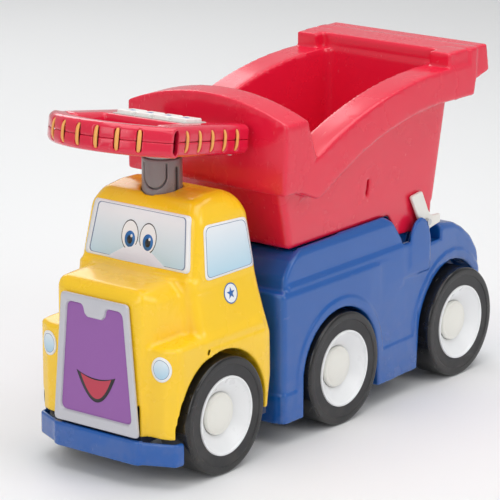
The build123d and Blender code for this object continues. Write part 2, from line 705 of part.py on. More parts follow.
def upright(radius, z_from, z_to):
    with BuildPart(mode=Mode.PRIVATE) as block:
        with BuildSketch(level(z_from)):
            with Locations((0, COLUMN_Y)):
                Circle(radius)
        extrude(amount=z_to - z_from)
    return block.part


def radial(angle, z):
    """Sketch plane on the column's axis that faces outwards: local x round the column, local y up."""
    facing = Vector(math.cos(math.radians(angle)), math.sin(math.radians(angle)), 0)
    return Plane(origin=(0, MID_AXLE_Y + COLUMN_Y, z), x_dir=facing.cross(Vector(0, 0, -1)), z_dir=facing)


# A snap finger is cut free in the front of the sleeve, and a slot in its left side.
with BuildPart() as column_sleeve:
    add(upright(COLUMN_R, SLEEVE_BOTTOM, SLEEVE_TOP))
    add(upright(SLEEVE_FLANGE_R, SLEEVE_BOTTOM, SLEEVE_BOTTOM + 4))
    add(upright(SHAFT_R + RUN_FIT, 0, 500), mode=Mode.SUBTRACT)
    with BuildSketch(radial(FINGER_ANGLE, FINGER_Z)):
        RectangleRounded(*FINGER_CUT, FINGER_CORNER)
        RectangleRounded(*FINGER, FINGER_CORNER - FINGER_GAP, mode=Mode.SUBTRACT)
        with Locations((0, FINGER_CUT[1] / 2)):
            Rectangle(FINGER_CUT[0], FINGER_ROOT, mode=Mode.SUBTRACT)
    extrude(amount=2 * COLUMN_R, mode=Mode.SUBTRACT)
    with BuildSketch(radial(SLOT_ANGLE, SLOT_Z)):
        SlotOverall(SLEEVE_SLOT[1], SLEEVE_SLOT[0], rotation=90)
    extrude(amount=2 * COLUMN_R, mode=Mode.SUBTRACT)
save(column_sleeve, "column_sleeve")
with BuildPart() as column_shaft:
    add(upright(SHAFT_R, SLEEVE_BOTTOM + 2, SLEEVE_TOP + 0.8))
    add(upright(SHAFT_R - SHAFT_WALL, 0, 500), mode=Mode.SUBTRACT)
save(column_shaft, "column_shaft")


def rim_outline(inset):
    """Plan of the steering wheel: front loop, two straight grips and the console between them."""
    with BuildSketch(mode=Mode.PRIVATE) as plan:
        with Locations((0, ARC_V)):
            Circle(ARC_R - inset)
            Circle(ARC_R - RIM_W + inset, mode=Mode.SUBTRACT)
        with Locations((0, 100 + GRIP_FRONT + 8)):
            Rectangle(400, 200, mode=Mode.SUBTRACT)
        grip_middle = (GRIP_FRONT + GRIP_REAR) / 2
        for sign in SIDES.values():
            with Locations((sign * (GRIP_OUT - GRIP_W / 2), grip_middle)):
                RectangleRounded(GRIP_W - 2 * inset, GRIP_REAR - GRIP_FRONT - 2 * inset, 9 - inset)
        with Locations((0, (CONSOLE_FRONT + CONSOLE_REAR) / 2)):
            Rectangle(2 * CONSOLE_HALF, CONSOLE_REAR - CONSOLE_FRONT - 2 * inset)
    return plan.sketch


def rim_half(sign):
    """Lower (-1) or upper (+1) half shell of the steering wheel."""
    tall = RIM_H / 2
    with BuildPart(mode=Mode.PRIVATE) as half:
        with BuildSketch(rim(sign * SEAM)):
            add(rim_outline(0))
        extrude(amount=sign * (tall - SEAM))
        far = half.faces().sort_by(Axis(rim(0).origin, WHEEL_UP))[-1 if sign > 0 else 0]
        fillet(far.edges(), RIM_EDGE)
        with BuildSketch(rim(0)):
            add(rim_outline(SHELL_T))
        extrude(amount=sign * (tall - SHELL_T), mode=Mode.SUBTRACT)
    return half.part


FRONT_RIBS = 6
FRONT_RIB_STEP = 13.8       # degrees round the front loop
GRIP_RIBS = 5
GRIP_RIB_FRONT = -66.0
GRIP_RIB_STEP = 25.5
RIB = (20.0, 4.0, 2.2)      # height, width, thickness
RIB_SUNK = 1.2


def rib_places():
    """Rib centres on the wheel's outer face: (u, v, direction of the outward normal)."""
    places = []
    for k in range(FRONT_RIBS):
        angle = math.radians(-90 + (k - (FRONT_RIBS - 1) / 2) * FRONT_RIB_STEP)
        places.append((ARC_R * math.cos(angle), ARC_V + ARC_R * math.sin(angle), math.degrees(angle)))
    for sign in SIDES.values():
        for k in range(GRIP_RIBS):
            places.append((sign * GRIP_OUT, GRIP_RIB_FRONT + GRIP_RIB_STEP * k, 0 if sign > 0 else 180))
    return places


with BuildPart() as grip_ribs:
    for u, v, facing in rib_places():
        spot = rim(0).from_local_coords((u, v, 0))
        out = WHEEL_U * math.cos(math.radians(facing)) + WHEEL_V * math.sin(math.radians(facing))
        with BuildSketch(Plane(origin=spot - out * RIB_SUNK, x_dir=WHEEL_UP, z_dir=out)):
            SlotOverall(RIB[0], RIB[1])
        extrude(amount=RIB[2])
save(grip_ribs, "grip_ribs")

BATTERY_R = 5.25
BATTERY_U = (31.0, 42.0)
BATTERY_V = (-36.0, 8.5)
DOOR_AT = (36.5, -14.0)
DOOR = (26.0, 50.0)
WHEEL_SCREWS = [(63.5, -72), (63.5, 48), (-63.5, -72), (-63.5, 48)]
POST_R = 4.0

with BuildPart() as wheel_lower_shell:
    add(rim_half(-1))
    with BuildSketch(rim(-RIM_H / 2)):
        with Locations(*WHEEL_SCREWS):
            Circle(POST_R)
    extrude(amount=RIM_H / 2 - SEAM)
    add(grip_ribs.part, mode=Mode.SUBTRACT)
    with BuildSketch(rim(-RIM_H)):
        with Locations(*WHEEL_SCREWS):
            Circle(SCREW_R)
        with Locations(DOOR_AT):
            Rectangle(DOOR[0] + 3 * FIT, DOOR[1] + 3 * FIT)
    extrude(amount=RIM_H, mode=Mode.SUBTRACT)
save(wheel_lower_shell, "wheel_lower_shell")

KEYS_U = [(k - (KEY_COUNT - 1) / 2) * KEY_PITCH for k in range(KEY_COUNT)]
KEYS_V = (CONSOLE_FRONT + CONSOLE_REAR) / 2
KEY_SPOTS = [(u, KEYS_V) for u in KEYS_U]
KEY_WINDOW = (KEY_SIZE[0] + 3 * FIT, KEY_SIZE[1] + 3 * FIT)
KEY_FOOT = BOARD_H + BOARD_T + 0.4 + KEY_TRAVEL
KEY_TOP = RIM_H / 2 + 4.5
BEZEL = (101.0, 46.0)
BEZEL_T = 2.6
BOARD = (98.0, 52.0)
with BuildPart() as wheel_upper_shell:
    add(rim_half(1))
    with BuildSketch(rim(SEAM)):
        with Locations(*WHEEL_SCREWS):
            Circle(POST_R)
    extrude(amount=RIM_H / 2 - 1)
    add(grip_ribs.part, mode=Mode.SUBTRACT)
    with BuildSketch(rim(-1)):
        with Locations(*WHEEL_SCREWS):
            Circle(SCREW_R)
    extrude(amount=12, mode=Mode.SUBTRACT)
    with BuildSketch(rim(0)):
        with Locations((0, KEYS_V)):
            Rectangle(BEZEL[0] + 2 * FIT, BEZEL[1] + 2 * FIT)
    extrude(amount=RIM_H, mode=Mode.SUBTRACT)
save(wheel_upper_shell, "wheel_upper_shell")

with BuildPart() as wheel_screws:
    with BuildSketch(rim(-RIM_H / 2 - HEAD_T)):
        with Locations(*WHEEL_SCREWS):
            Circle(HEAD_R)
    extrude(amount=HEAD_T)
    with BuildSketch(rim(-RIM_H / 2)):
        with Locations(*WHEEL_SCREWS):
            Circle(SCREW_R)
    extrude(amount=RIM_H / 2 + 9)
save(wheel_screws, "wheel_screws")

with BuildPart() as key_bezel:
    with BuildSketch(rim(RIM_H / 2 + 0.1 - BEZEL_T)):
        with Locations((0, KEYS_V)):
            Rectangle(*BEZEL)
        with Locations(*KEY_SPOTS):
            RectangleRounded(*KEY_WINDOW, 3, mode=Mode.SUBTRACT)
    extrude(amount=BEZEL_T)
save(key_bezel, "key_bezel")

for number, spot in enumerate(KEY_SPOTS, 1):
    with BuildPart() as key:
        with BuildSketch(rim(KEY_FOOT)):
            with Locations(spot):
                RectangleRounded(*KEY_SIZE, 2.7)
        extrude(amount=KEY_TOP - KEY_FOOT)
        chamfer(key.faces().sort_by(Axis(rim(0).origin, WHEEL_UP))[-1].edges(), 1)
    save(key, f"key_{number}")

with BuildPart() as circuit_board:
    with BuildSketch(rim(BOARD_H)):
        with Locations((0, KEYS_V)):
            Rectangle(*BOARD)
    extrude(amount=BOARD_T)
save(circuit_board, "circuit_board")

SPEAKER_U = -37.0
SPEAKER_LOW = -14.8
with BuildPart() as speaker:
    with BuildSketch(rim(SPEAKER_LOW)):
        with Locations((SPEAKER_U, KEYS_V)):
            Circle(14)
    extrude(amount=9)
    with BuildSketch(rim(SPEAKER_LOW + 9)):
        with Locations((SPEAKER_U, KEYS_V)):
            Circle(8)
    extrude(amount=5)
save(speaker, "speaker")

with BuildPart() as batteries:
    for u in BATTERY_U:
        with BuildSketch(Plane(origin=rim(-8.5).from_local_coords((u, BATTERY_V[0], 0)), x_dir=WHEEL_U,
                               z_dir=WHEEL_V)):
            Circle(BATTERY_R)
        extrude(amount=BATTERY_V[1] - BATTERY_V[0])
save(batteries, "batteries")

with BuildPart() as battery_door:
    with BuildSketch(rim(-RIM_H / 2)):
        with Locations(DOOR_AT):
            Rectangle(*DOOR)
    extrude(amount=SHELL_T)
save(battery_door, "battery_door")

COLLAR_R = 22.0
with BuildPart() as steering_collar:
    add(upright(COLLAR_R, SLEEVE_TOP + 0.9, STEER_Z + 10))
    with BuildSketch(rim(-RIM_H / 2 - 0.1)):
        Rectangle(200, 200)
    extrude(amount=60, mode=Mode.SUBTRACT)
save(steering_collar, "steering_collar")
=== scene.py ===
import math
import bmesh
import bpy
import numpy as np
import openvdb
from mathutils import Matrix, Vector


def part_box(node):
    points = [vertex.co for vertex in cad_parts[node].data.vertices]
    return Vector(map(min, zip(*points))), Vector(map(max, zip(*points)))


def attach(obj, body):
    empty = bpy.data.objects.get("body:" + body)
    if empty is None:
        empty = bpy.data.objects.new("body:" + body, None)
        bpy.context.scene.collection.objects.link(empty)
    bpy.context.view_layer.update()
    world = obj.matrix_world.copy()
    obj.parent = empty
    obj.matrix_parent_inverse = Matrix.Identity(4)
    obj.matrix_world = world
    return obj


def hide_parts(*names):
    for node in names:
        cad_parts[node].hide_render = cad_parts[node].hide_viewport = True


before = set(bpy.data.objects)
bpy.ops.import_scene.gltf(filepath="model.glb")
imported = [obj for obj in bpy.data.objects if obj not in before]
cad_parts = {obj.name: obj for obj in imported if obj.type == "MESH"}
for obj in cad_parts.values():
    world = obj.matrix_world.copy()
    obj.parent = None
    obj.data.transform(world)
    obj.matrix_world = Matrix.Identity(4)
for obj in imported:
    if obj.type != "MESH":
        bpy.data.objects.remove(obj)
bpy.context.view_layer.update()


# ---- Camera and studio
# A long lens looks down on the truck's left front from over three metres, above a pale sweep.
# Four soft lights hang overhead, at the front, on the left and at the far rear corner.
MM = 0.001
MID_Y = sum(corner[1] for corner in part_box("middle_axle")) / 2 / MM
AXLE_Z = sum(corner[2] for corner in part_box("middle_axle")) / 2 / MM


def at(x, y, z):
    """A place in metres; y is in millimetres behind the middle axle."""
    return Vector((x, y + MID_Y, z)) * MM


view_turn, view_rise = math.radians(38.1425), math.radians(15.3411)
camera_back = Vector((math.sin(view_turn) * math.cos(view_rise), -math.cos(view_turn) * math.cos(view_rise),
                      math.sin(view_rise)))
camera = bpy.data.objects.new("camera", bpy.data.cameras.new("camera"))
camera.data.sensor_width = 36.0
camera.data.lens = 208.9
camera.data.clip_end = 50.0
camera.location = at(2079.91, -2692.99, 1132.77)
camera.rotation_mode = "QUATERNION"
camera.rotation_quaternion = (-camera_back).to_track_quat("-Z", "Y")
bpy.context.scene.collection.objects.link(camera)
bpy.context.scene.camera = camera


def area_light(name, place, target, size, power, tint=(1, 1, 1)):
    """A soft rectangular lamp that points at the target."""
    lamp = bpy.data.objects.new(name, bpy.data.lights.new(name, "AREA"))
    lamp.data.shape = "RECTANGLE"
    lamp.data.size, lamp.data.size_y = size
    lamp.data.energy = power
    lamp.data.color = tint
    lamp.location = place
    lamp.rotation_mode = "QUATERNION"
    lamp.rotation_quaternion = (Vector(target) - Vector(place)).to_track_quat("-Z", "Y")
    bpy.context.scene.collection.objects.link(lamp)


area_light("overhead", (0.2, 0.1, 2.4), (0, 0, 0.2), (2.6, 2.2), 34)
area_light("front_fill", (0.4, -2.6, 1.3), (0, 0, 0.2), (1.8, 1.6), 16)
area_light("left_side", (2.6, 0.2, 1.6), (0, 0, 0.25), (1.6, 1.8), 18)
area_light("far_rim", (-2.2, 1.4, 1.8), (0, 0, 0.3), (1.2, 1.6), 14)

world = bpy.data.worlds.new("studio")
bpy.context.scene.world = world
world.use_nodes = True
world.node_tree.nodes["Background"].inputs["Color"].default_value = (1.0, 1.0, 1.0, 1)
world.node_tree.nodes["Background"].inputs["Strength"].default_value = 0.5
bpy.context.scene.view_settings.view_transform = "Standard"

sweep_mesh = bmesh.new()
rail = [(-6.0, 0.0), (3.2, 0.0)]
rail += [(3.2 + 1.6 * math.sin(a), 1.6 - 1.6 * math.cos(a)) for a in np.linspace(0.1, math.pi / 2, 12)]
rail += [(4.8, 7.0)]
lines = []
for across in (-7.0, 7.0):
    lines.append([sweep_mesh.verts.new((across, depth, height)) for depth, height in rail])
for k in range(len(rail) - 1):
    sweep_mesh.faces.new((lines[0][k], lines[1][k], lines[1][k + 1], lines[0][k + 1]))
sweep_data = bpy.data.meshes.new("sweep")
sweep_mesh.to_mesh(sweep_data)
sweep_mesh.free()
sweep = bpy.data.objects.new("sweep", sweep_data)
for face in sweep_data.polygons:
    face.use_smooth = True
bpy.context.scene.collection.objects.link(sweep)
paper = bpy.data.materials.new("paper_sweep")
paper.use_nodes = True
paper_shader = paper.node_tree.nodes["Principled BSDF"]
paper_shader.inputs["Base Color"].default_value = (0.86, 0.865, 0.87, 1)
paper_shader.inputs["Roughness"].default_value = 0.7
sweep_data.materials.append(paper)


# ---- Cab shell
# Yellow polyethylene, rotationally moulded in one piece with a hollow three-millimetre wall.
# Every edge is a soft radius. It stands on the frame's ledges and is screwed up from below.
WALL = 3.0


def softened(points, radius):
    """A closed outline with arcs at its corners; radius is one number or one for each corner."""
    radii = radius if isinstance(radius, (list, tuple)) else [radius] * len(points)
    outline = []
    for k, corner in enumerate(points):
        here = Vector(corner)
        back, ahead = Vector(points[k - 1]) - here, Vector(points[(k + 1) % len(points)]) - here
        half = back.angle(ahead) / 2
        reach = min(radii[k] / math.tan(half), 0.48 * back.length, 0.48 * ahead.length)
        if reach < 0.05:
            outline.append(tuple(here))
            continue
        start, end = here + back.normalized() * reach, here + ahead.normalized() * reach
        for t in np.linspace(0, 1, 7):
            outline.append(tuple(start * (1 - t) ** 2 + here * (2 * t * (1 - t)) + end * t ** 2))
    return outline


def mirrored(points):
    """A closed outline, symmetric about the centre plane, from its left half."""
    return points + [(-u, v) for u, v in reversed(points)]


def outline_distance(u, v, points):
    """Signed distance from (u, v) to a closed outline, negative inside it."""
    best = np.full(np.broadcast(u, v).shape, 1e12)
    inside = np.zeros(best.shape, bool)
    for (au, av), (bu, bv) in zip(points, points[1:] + points[:1]):
        eu, ev = bu - au, bv - av
        wu, wv = u - au, v - av
        t = np.clip((wu * eu + wv * ev) / max(eu * eu + ev * ev, 1e-9), 0, 1)
        best = np.minimum(best, (wu - eu * t) ** 2 + (wv - ev * t) ** 2)
        if ev:
            inside ^= ((av > v) != (bv > v)) & (wu < eu * wv / ev)
    return np.where(inside, -1.0, 1.0) * np.sqrt(best)


def meet(a, b, radius):
    """Common part of two bodies, its edge rounded."""
    if not radius:
        return np.maximum(a, b)
    corner = np.hypot(np.maximum(a + radius, 0), np.maximum(b + radius, 0))
    return np.minimum(np.maximum(a, b), -radius) + corner


def join(a, b, radius):
    """Two bodies together, with a fillet where they run into each other."""
    return -meet(-a, -b, radius)


def cut(a, b, radius):
    """The first body without the second."""
    return meet(a, -b, radius)


def slab(t, low, high):
    """Distance to the space between two parallel planes."""
    return np.maximum(low - t, t - high)


def cast(name, body, low, high, step, material, adapt=0.0):
    """Turns a body's distance field into a closed mesh with its outside facing out."""
    axes = [np.arange(a - 2 * step, b + 3 * step, step) for a, b in zip(low, high)]
    x, y, z = np.meshgrid(*axes, indexing="ij", sparse=True)
    field = np.broadcast_to(body(x, y, z), [len(a) for a in axes]).astype(np.float32)
    grid = openvdb.FloatGrid(float(3 * step))
    grid.copyFromArray(np.clip(field, -3 * step, 3 * step))
    points, triangles, quads = grid.convertToPolygons(isovalue=0.0, adaptivity=adapt)
    places = (points * step + np.array([a[0] for a in axes]) + (0, MID_Y, 0)) * MM
    return solid(name, places, [*triangles[:, ::-1].tolist(), *quads[:, ::-1].tolist()], material)


def solid(name, places, faces, material):
    """A smooth-shaded mesh object with one material."""
    mesh = bpy.data.meshes.new(name)
    mesh.from_pydata([tuple(p) for p in places], [], faces)
    mesh.validate()
    mesh.shade_smooth()
    mesh.materials.append(material)
    made = bpy.data.objects.new(name, mesh)
    bpy.context.scene.collection.objects.link(made)
    return made


def faced_outward(piece, weld=0.0):
    """The same piece with its faces turned outwards and, if asked, its doubled points merged."""
    shape = bmesh.new()
    shape.from_mesh(piece.data)
    if weld:
        bmesh.ops.remove_doubles(shape, verts=shape.verts, dist=weld)
    bmesh.ops.recalc_face_normals(shape, faces=shape.faces)
    shape.to_mesh(piece.data)
    shape.free()
    return piece


def fit(piece, body, slot, *nodes):
    """Mounts a finished piece on its body in place of its plain solids."""
    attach(piece, body)
    if nodes:
        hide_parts(*nodes)


def wired(tree, kind, inputs=None, **settings):
    """A new node with its settings made and its inputs filled or linked."""
    made = tree.nodes.new(kind)
    for key, value in settings.items():
        setattr(made, key, value)
    for key, value in (inputs or {}).items():
        if isinstance(value, bpy.types.NodeSocket):
            tree.links.new(value, made.inputs[key])
        else:
            made.inputs[key].default_value = value
    return made


def surface_group():
    """Shared moulded-plastic effect: pigment drift, fine ripple, scuffs and floor dust."""
    group = bpy.data.node_groups.new("moulded_surface", "ShaderNodeTree")
    face = group.interface
    face.new_socket("Color", in_out="INPUT", socket_type="NodeSocketColor")
    for name in ("Roughness", "Drift", "Scuffs", "Dust", "Ripple"):
        face.new_socket(name, in_out="INPUT", socket_type="NodeSocketFloat")
    for name, kind in (("Color", "Color"), ("Roughness", "Float"), ("Normal", "Vector")):
        face.new_socket(name, in_out="OUTPUT", socket_type="NodeSocket" + kind)
    given = group.nodes.new("NodeGroupInput").outputs
    place = group.nodes.new("ShaderNodeTexCoord").outputs["Object"]

    def noise(scale, detail, stretch=(1, 1, 1)):
        turn = wired(group, "ShaderNodeMapping", {"Vector": place, "Scale": stretch})
        made = wired(group, "ShaderNodeTexNoise",
                     {"Vector": turn.outputs["Vector"], "Scale": scale, "Detail": detail})
        return made.outputs["Fac"]

    def maths(operation, a, b, clamp=False):
        made = wired(group, "ShaderNodeMath", {0: a, 1: b}, operation=operation, use_clamp=clamp)
        return made.outputs[0]

    def ramp(value, low, high, to_low=0.0, to_high=1.0):
        made = wired(group, "ShaderNodeMapRange", {"Value": value, "From Min": low, "From Max": high,
                                                   "To Min": to_low, "To Max": to_high})
        return made.outputs["Result"]

    def mix(factor, a, b):
        return wired(group, "ShaderNodeMix", {0: factor, 6: a, 7: b}, data_type="RGBA").outputs[2]

    drift = maths("MULTIPLY", ramp(noise(9, 3), 0.3, 0.7, -1.0, 1.0), given["Drift"])
    tone = wired(group, "ShaderNodeHueSaturation",
                 {"Value": maths("ADD", drift, 1.0), "Color": given["Color"]})
    scratch = ramp(noise(220, 2, (1, 0.06, 0.5)), 0.66, 0.74)
    patch = ramp(noise(14, 2), 0.5, 0.66)
    scuff = maths("MULTIPLY", maths("MULTIPLY", scratch, patch), given["Scuffs"], True)
    height = wired(group, "ShaderNodeSeparateXYZ", {0: place})
    low_down = ramp(height.outputs["Z"], 0.0, 0.16, 1.0, 0.0)
    specks = ramp(noise(60, 5), 0.42, 0.62)
    dust = maths("MULTIPLY", maths("MULTIPLY", low_down, specks), given["Dust"], True)
    tint = mix(maths("MULTIPLY", scuff, 0.22), tone.outputs["Color"], (0.9, 0.9, 0.9, 1))
    tint = mix(maths("MULTIPLY", dust, 0.35), tint, (0.42, 0.38, 0.33, 1))
    cloudy = ramp(noise(22, 4), 0.3, 0.7, -0.05, 0.05)
    rough = maths("ADD", given["Roughness"], cloudy)
    rough = maths("ADD", rough, maths("MULTIPLY", scuff, 0.3))
    rough = maths("ADD", rough, maths("MULTIPLY", dust, 0.3), True)
    ripple = maths("ADD", maths("MULTIPLY", noise(26, 2), 0.8), maths("MULTIPLY", noise(420, 3), 0.06))
    bump = wired(group, "ShaderNodeBump", {"Distance": 0.0012,
                                           "Height": maths("ADD", ripple, maths("MULTIPLY", scuff, -0.2)),
                                           "Strength": maths("MULTIPLY", given["Ripple"], 0.35)})
    wired(group, "NodeGroupOutput", {"Color": tint, "Roughness": rough, "Normal": bump.outputs["Normal"]})
    return group


moulded_surface = surface_group()


def plastic(name, colour, rough=0.3, drift=0.02, scuffs=0.25, dust=0.12, ripple=0.105, coat=0.0,
            **shader_values):
    """A moulded plastic with the shared surface effect."""
    made = bpy.data.materials.new(name)
    made.use_nodes = True
    tree = made.node_tree
    shader = tree.nodes["Principled BSDF"]
    effect = wired(tree, "ShaderNodeGroup", {"Color": (*colour, 1), "Roughness": rough, "Drift": drift,
                                             "Scuffs": scuffs, "Dust": dust, "Ripple": ripple},
                   node_tree=moulded_surface)
    for given, socket in (("Color", "Base Color"), ("Roughness", "Roughness"), ("Normal", "Normal")):
        tree.links.new(effect.outputs[given], shader.inputs[socket])
    shader.inputs["Coat Weight"].default_value = coat
    shader.inputs["Coat Roughness"].default_value = 0.12
    for key, value in shader_values.items():
        shader.inputs[key].default_value = value
    return made


cab_yellow = plastic("cab_yellow", (0.96, 0.60, 0.012), rough=0.26, coat=0.25)

CAB_FOOT = 58.2
ROOF = 321.0
FRONT_AXLE = -227.5
CAB_ARCH = 77.7
WELL_IN = 61.4
FRAME_HALF = 58.2
AXLE_HOLE = 13.0
COLUMN_Y = -208.0
house_side = softened([(-262, 0), (-262, 232), (-256, 236), (-243, 304), (-232, 317), (-205, ROOF + 1),
                       (-178, ROOF), (-157, 312), (-149, 292), (-141, 234), (-134, 148), (-133, 98),
                       (-140, 50), (-141, 0)], [0, 2, 2, 30, 14, 30, 30, 30, 30, 60, 60, 40, 10, 0])
house_front = softened(mirrored([(106, 0), (106, 150), (98, 178), (91.5, 204), (88, 222), (82, 296),
                                 (66, 330)]), [0, 40, 40, 60, 60, 30, 0, 0, 30, 60, 60, 40, 40, 0])
hood_side = softened([(-326, 0), (-326, 216), (-317, 229), (-256, 236), (-190, 243), (-190, 0)],
                     [0, 9, 14, 0, 0, 0])
hood_front = softened(mirrored([(86, 0), (86, 166), (80, 190), (73, 216), (56, 233), (28, 240)]),
                      [0, 20, 30, 12, 30, 30, 30, 30, 12, 30, 20, 0])
hood_plan = softened(mirrored([(50, -327), (62, -321.5), (71, -302), (80, -256), (88, -190)]),
                     [12, 12, 14, 20, 0, 0, 20, 14, 12, 12])
fender_side = [(-318, 0), (-318, 164.5), (-306, 165.8), (-206, 177), (-150, 178), (-150, 0)]
fender_front = mirrored([(106.5, 0), (105.5, 163.5), (83, 179)])
fender_plan = softened(mirrored([(58, -316.5), (88, -312.5), (103, -305), (106, -297), (106, -150)]),
                       [0, 10, 5, 8, 0, 0, 8, 5, 10, 0])


def cab_outside(x, y, z):
    """Outer form of the cab: house, hood and the two fenders."""
    house = meet(outline_distance(y, z, house_side), outline_distance(x, z, house_front), 13)
    hood = meet(meet(outline_distance(y, z, hood_side), outline_distance(x, z, hood_front), 5),
                outline_distance(x, y, hood_plan), 7)
    fender = meet(meet(outline_distance(y, z, fender_side), outline_distance(x, z, fender_front), 2),
                  outline_distance(x, y, fender_plan), 5)
    return join(join(house, hood, 9), fender, 5)


def arch(y, z, axle, radius, front_leg, rear_leg):
    """Side outline of a wheel opening: round above the axle, with legs that open downwards."""
    legs = [(axle - radius, AXLE_Z), (axle - front_leg, -40), (axle + rear_leg, -40), (axle + radius, AXLE_Z)]
    return np.minimum(np.hypot(y - axle, z - AXLE_Z) - radius, outline_distance(y, z, legs))


def cab_body(x, y, z):
    """The hollow cab: skin, wheel wells, roof hole and the notch for the frame."""
    opening = meet(arch(y, z, FRONT_AXLE, CAB_ARCH, CAB_ARCH, CAB_ARCH), WELL_IN - np.abs(x), 4)
    filled = cut(cab_outside(x, y, z), opening, 2.2)
    skin = np.maximum(filled, -(filled + WALL))
    skin = cut(skin, z - CAB_FOOT, 0.8)
    skin = np.maximum(skin, -np.maximum(np.abs(x) - FRAME_HALF, z - 94.3))
    column = np.maximum(np.hypot(x, y - COLUMN_Y) - 23.8, 290 - z)
    axle = np.hypot(y - FRONT_AXLE, z - AXLE_Z) - AXLE_HOLE
    return cut(np.maximum(skin, -axle), column, 1.2)


cab = cast("cab", cab_body, (-107, -328, 58), (107, -132, 323), 1.9, cab_yellow)
fit(cab, "chassis", "yellow", "cab_shell")


# ---- Cab stickers, badge and lamps
# Printed films that follow the moulded skin: a windshield with two round eyes, one window on
# each side, a plain star badge on each door and a lamp on each fender.
def on_skin(starts, heading, lift):
    """Lays places onto the cab along one straight heading and lifts each off it by its own amount."""
    spots, heading = np.array(starts, float), np.array(heading, float)
    for _ in range(26):
        spots += heading * cab_outside(*spots.T)[:, None] * 0.95
    slope = np.stack([cab_outside(*(spots + step).T) - cab_outside(*(spots - step).T)
                      for step in np.eye(3)], 1)
    slope /= np.linalg.norm(slope, axis=1)[:, None]
    return spots + slope * np.array(lift)[:, None]


def film(name, layers, lay, materials, thick=0.35):
    """Printed films as one piece; each layer is (outline, insets, material numbers, lift, dome)."""
    spots, lifts, faces, numbers = [], [], [], []
    for outline, insets, inks, lift, dome in layers:
        flat, first, count = np.array(outline), len(spots), len(outline)
        middle = flat.mean(axis=0)
        size = np.linalg.norm(flat - middle, axis=1).min()
        shares = [1 - inset / size for inset in insets]
        for share in [*shares, 0]:
            ring = flat if share else flat[:1]
            spots += (middle + (ring - middle) * share).tolist()
            lifts += [lift + dome * (1 - share * share)] * len(ring)
        tip, low = len(spots) - 1, len(spots)
        spots += [*flat.tolist(), middle.tolist()]
        lifts += [lift - thick] * (count + 1)
        for k in range(count):
            n = (k + 1) % count
            for level, ink in zip(range(len(shares) - 1), inks):
                a, b = first + level * count, first + (level + 1) * count
                faces.append((a + k, a + n, b + n, b + k))
                numbers.append(ink)
            faces += [(tip - count + k, tip - count + n, tip), (low + n, low + k, low + count),
                      (low + k, low + n, first + n, first + k)]
            numbers += [inks[-1], inks[0], inks[0]]
    places = (lay(np.array(spots), np.array(lifts)) + (0, MID_Y, 0)) * MM
    made = solid(name, places, faces, materials[0])
    for material in materials[1:]:
        made.data.materials.append(material)
    made.data.polygons.foreach_set("material_index", numbers)
    return faced_outward(made)


def dense(points, spacing):
    """The same closed outline with points no farther apart than the spacing."""
    outline = []
    for start, end in zip(points, points[1:] + points[:1]):
        a, b = Vector(start), Vector(end)
        count = max(1, int((b - a).length / spacing))
        outline += [tuple(a.lerp(b, k / count)) for k in range(count)]
    return outline


def oval(u, v, half_u, half_v, count=40):
    """A closed ellipse as an outline."""
    turns = [2 * math.pi * k / count for k in range(count)]
    return [(u + half_u * math.cos(t), v + half_v * math.sin(t)) for t in turns]


def print_ink(name, colour):
    """One flat printed colour."""
    return plastic(name, colour, rough=0.34, drift=0.012, scuffs=0.175, dust=0.04, ripple=0.052)


def fading_print(name, low, high, low_colour, high_colour):
    """A printed film that fades from one colour to another up the truck."""
    made = plastic(name, low_colour, rough=0.32, drift=0.008, scuffs=0.175, dust=0.04, ripple=0.052)
    tree = made.node_tree
    place = tree.nodes.new("ShaderNodeTexCoord")
    height = wired(tree, "ShaderNodeSeparateXYZ", {0: place.outputs["Object"]})
    share = wired(tree, "ShaderNodeMapRange",
                  {"Value": height.outputs["Z"], "From Min": low * MM, "From Max": high * MM})
    blend = wired(tree, "ShaderNodeMix",
                  {0: share.outputs["Result"], 6: (*low_colour, 1), 7: (*high_colour, 1)}, data_type="RGBA")
    effect = next(node for node in tree.nodes if node.type == "GROUP")
    tree.links.new(blend.outputs[2], effect.inputs["Color"])
    return made


border_white = print_ink("border_white", (0.86, 0.87, 0.88))
line_grey = print_ink("line_grey", (0.19, 0.24, 0.36))
window_sky = fading_print("window_sky", 225, 292, (0.42, 0.66, 0.80), (0.84, 0.86, 0.89))


def on_front(points, lifts):
    """Print places on the windshield and the fenders: across the truck, and height."""
    starts = np.stack([points[:, 0], np.full(len(points), -345.0), points[:, 1]], 1)
    return on_skin(starts, (0, 1, 0), lifts)


def on_left(points, lifts):
    """Print places on the cab's left side: along the truck, and height."""
    starts = np.stack([np.full(len(points), 130.0), points[:, 0], points[:, 1]], 1)
    return on_skin(starts, (-1, 0, 0), lifts)


def on_right(points, lifts):
    """The same places on the cab's right side."""
    return on_left(points, lifts) * (-1, 1, 1)


shield = dense(softened(mirrored([(79, 239), (71.5, 303)]), 6), 6)
windshield = film("windshield", [(shield, (0, 2.6, 3.3, 14, 30), (0, 1, 2, 2, 2), 0.45, 0)], on_front,
                  [border_white, line_grey, window_sky])
fit(windshield, "chassis", "sky_label", "windshield_label")
window = dense(softened([(-238, 228), (-235, 292), (-157, 288), (-147, 228)], [8, 9, 12, 6]), 6)
for side_name, lay_side in (("left", on_left), ("right", on_right)):
    pane = film(side_name + "_window", [(window, (0, 2.4, 3.1, 14, 28), (0, 1, 2, 2, 2), 0.45, 0)], lay_side,
                [border_white, line_grey, window_sky])
    fit(pane, "chassis", "sky_label", side_name + "_window_label")

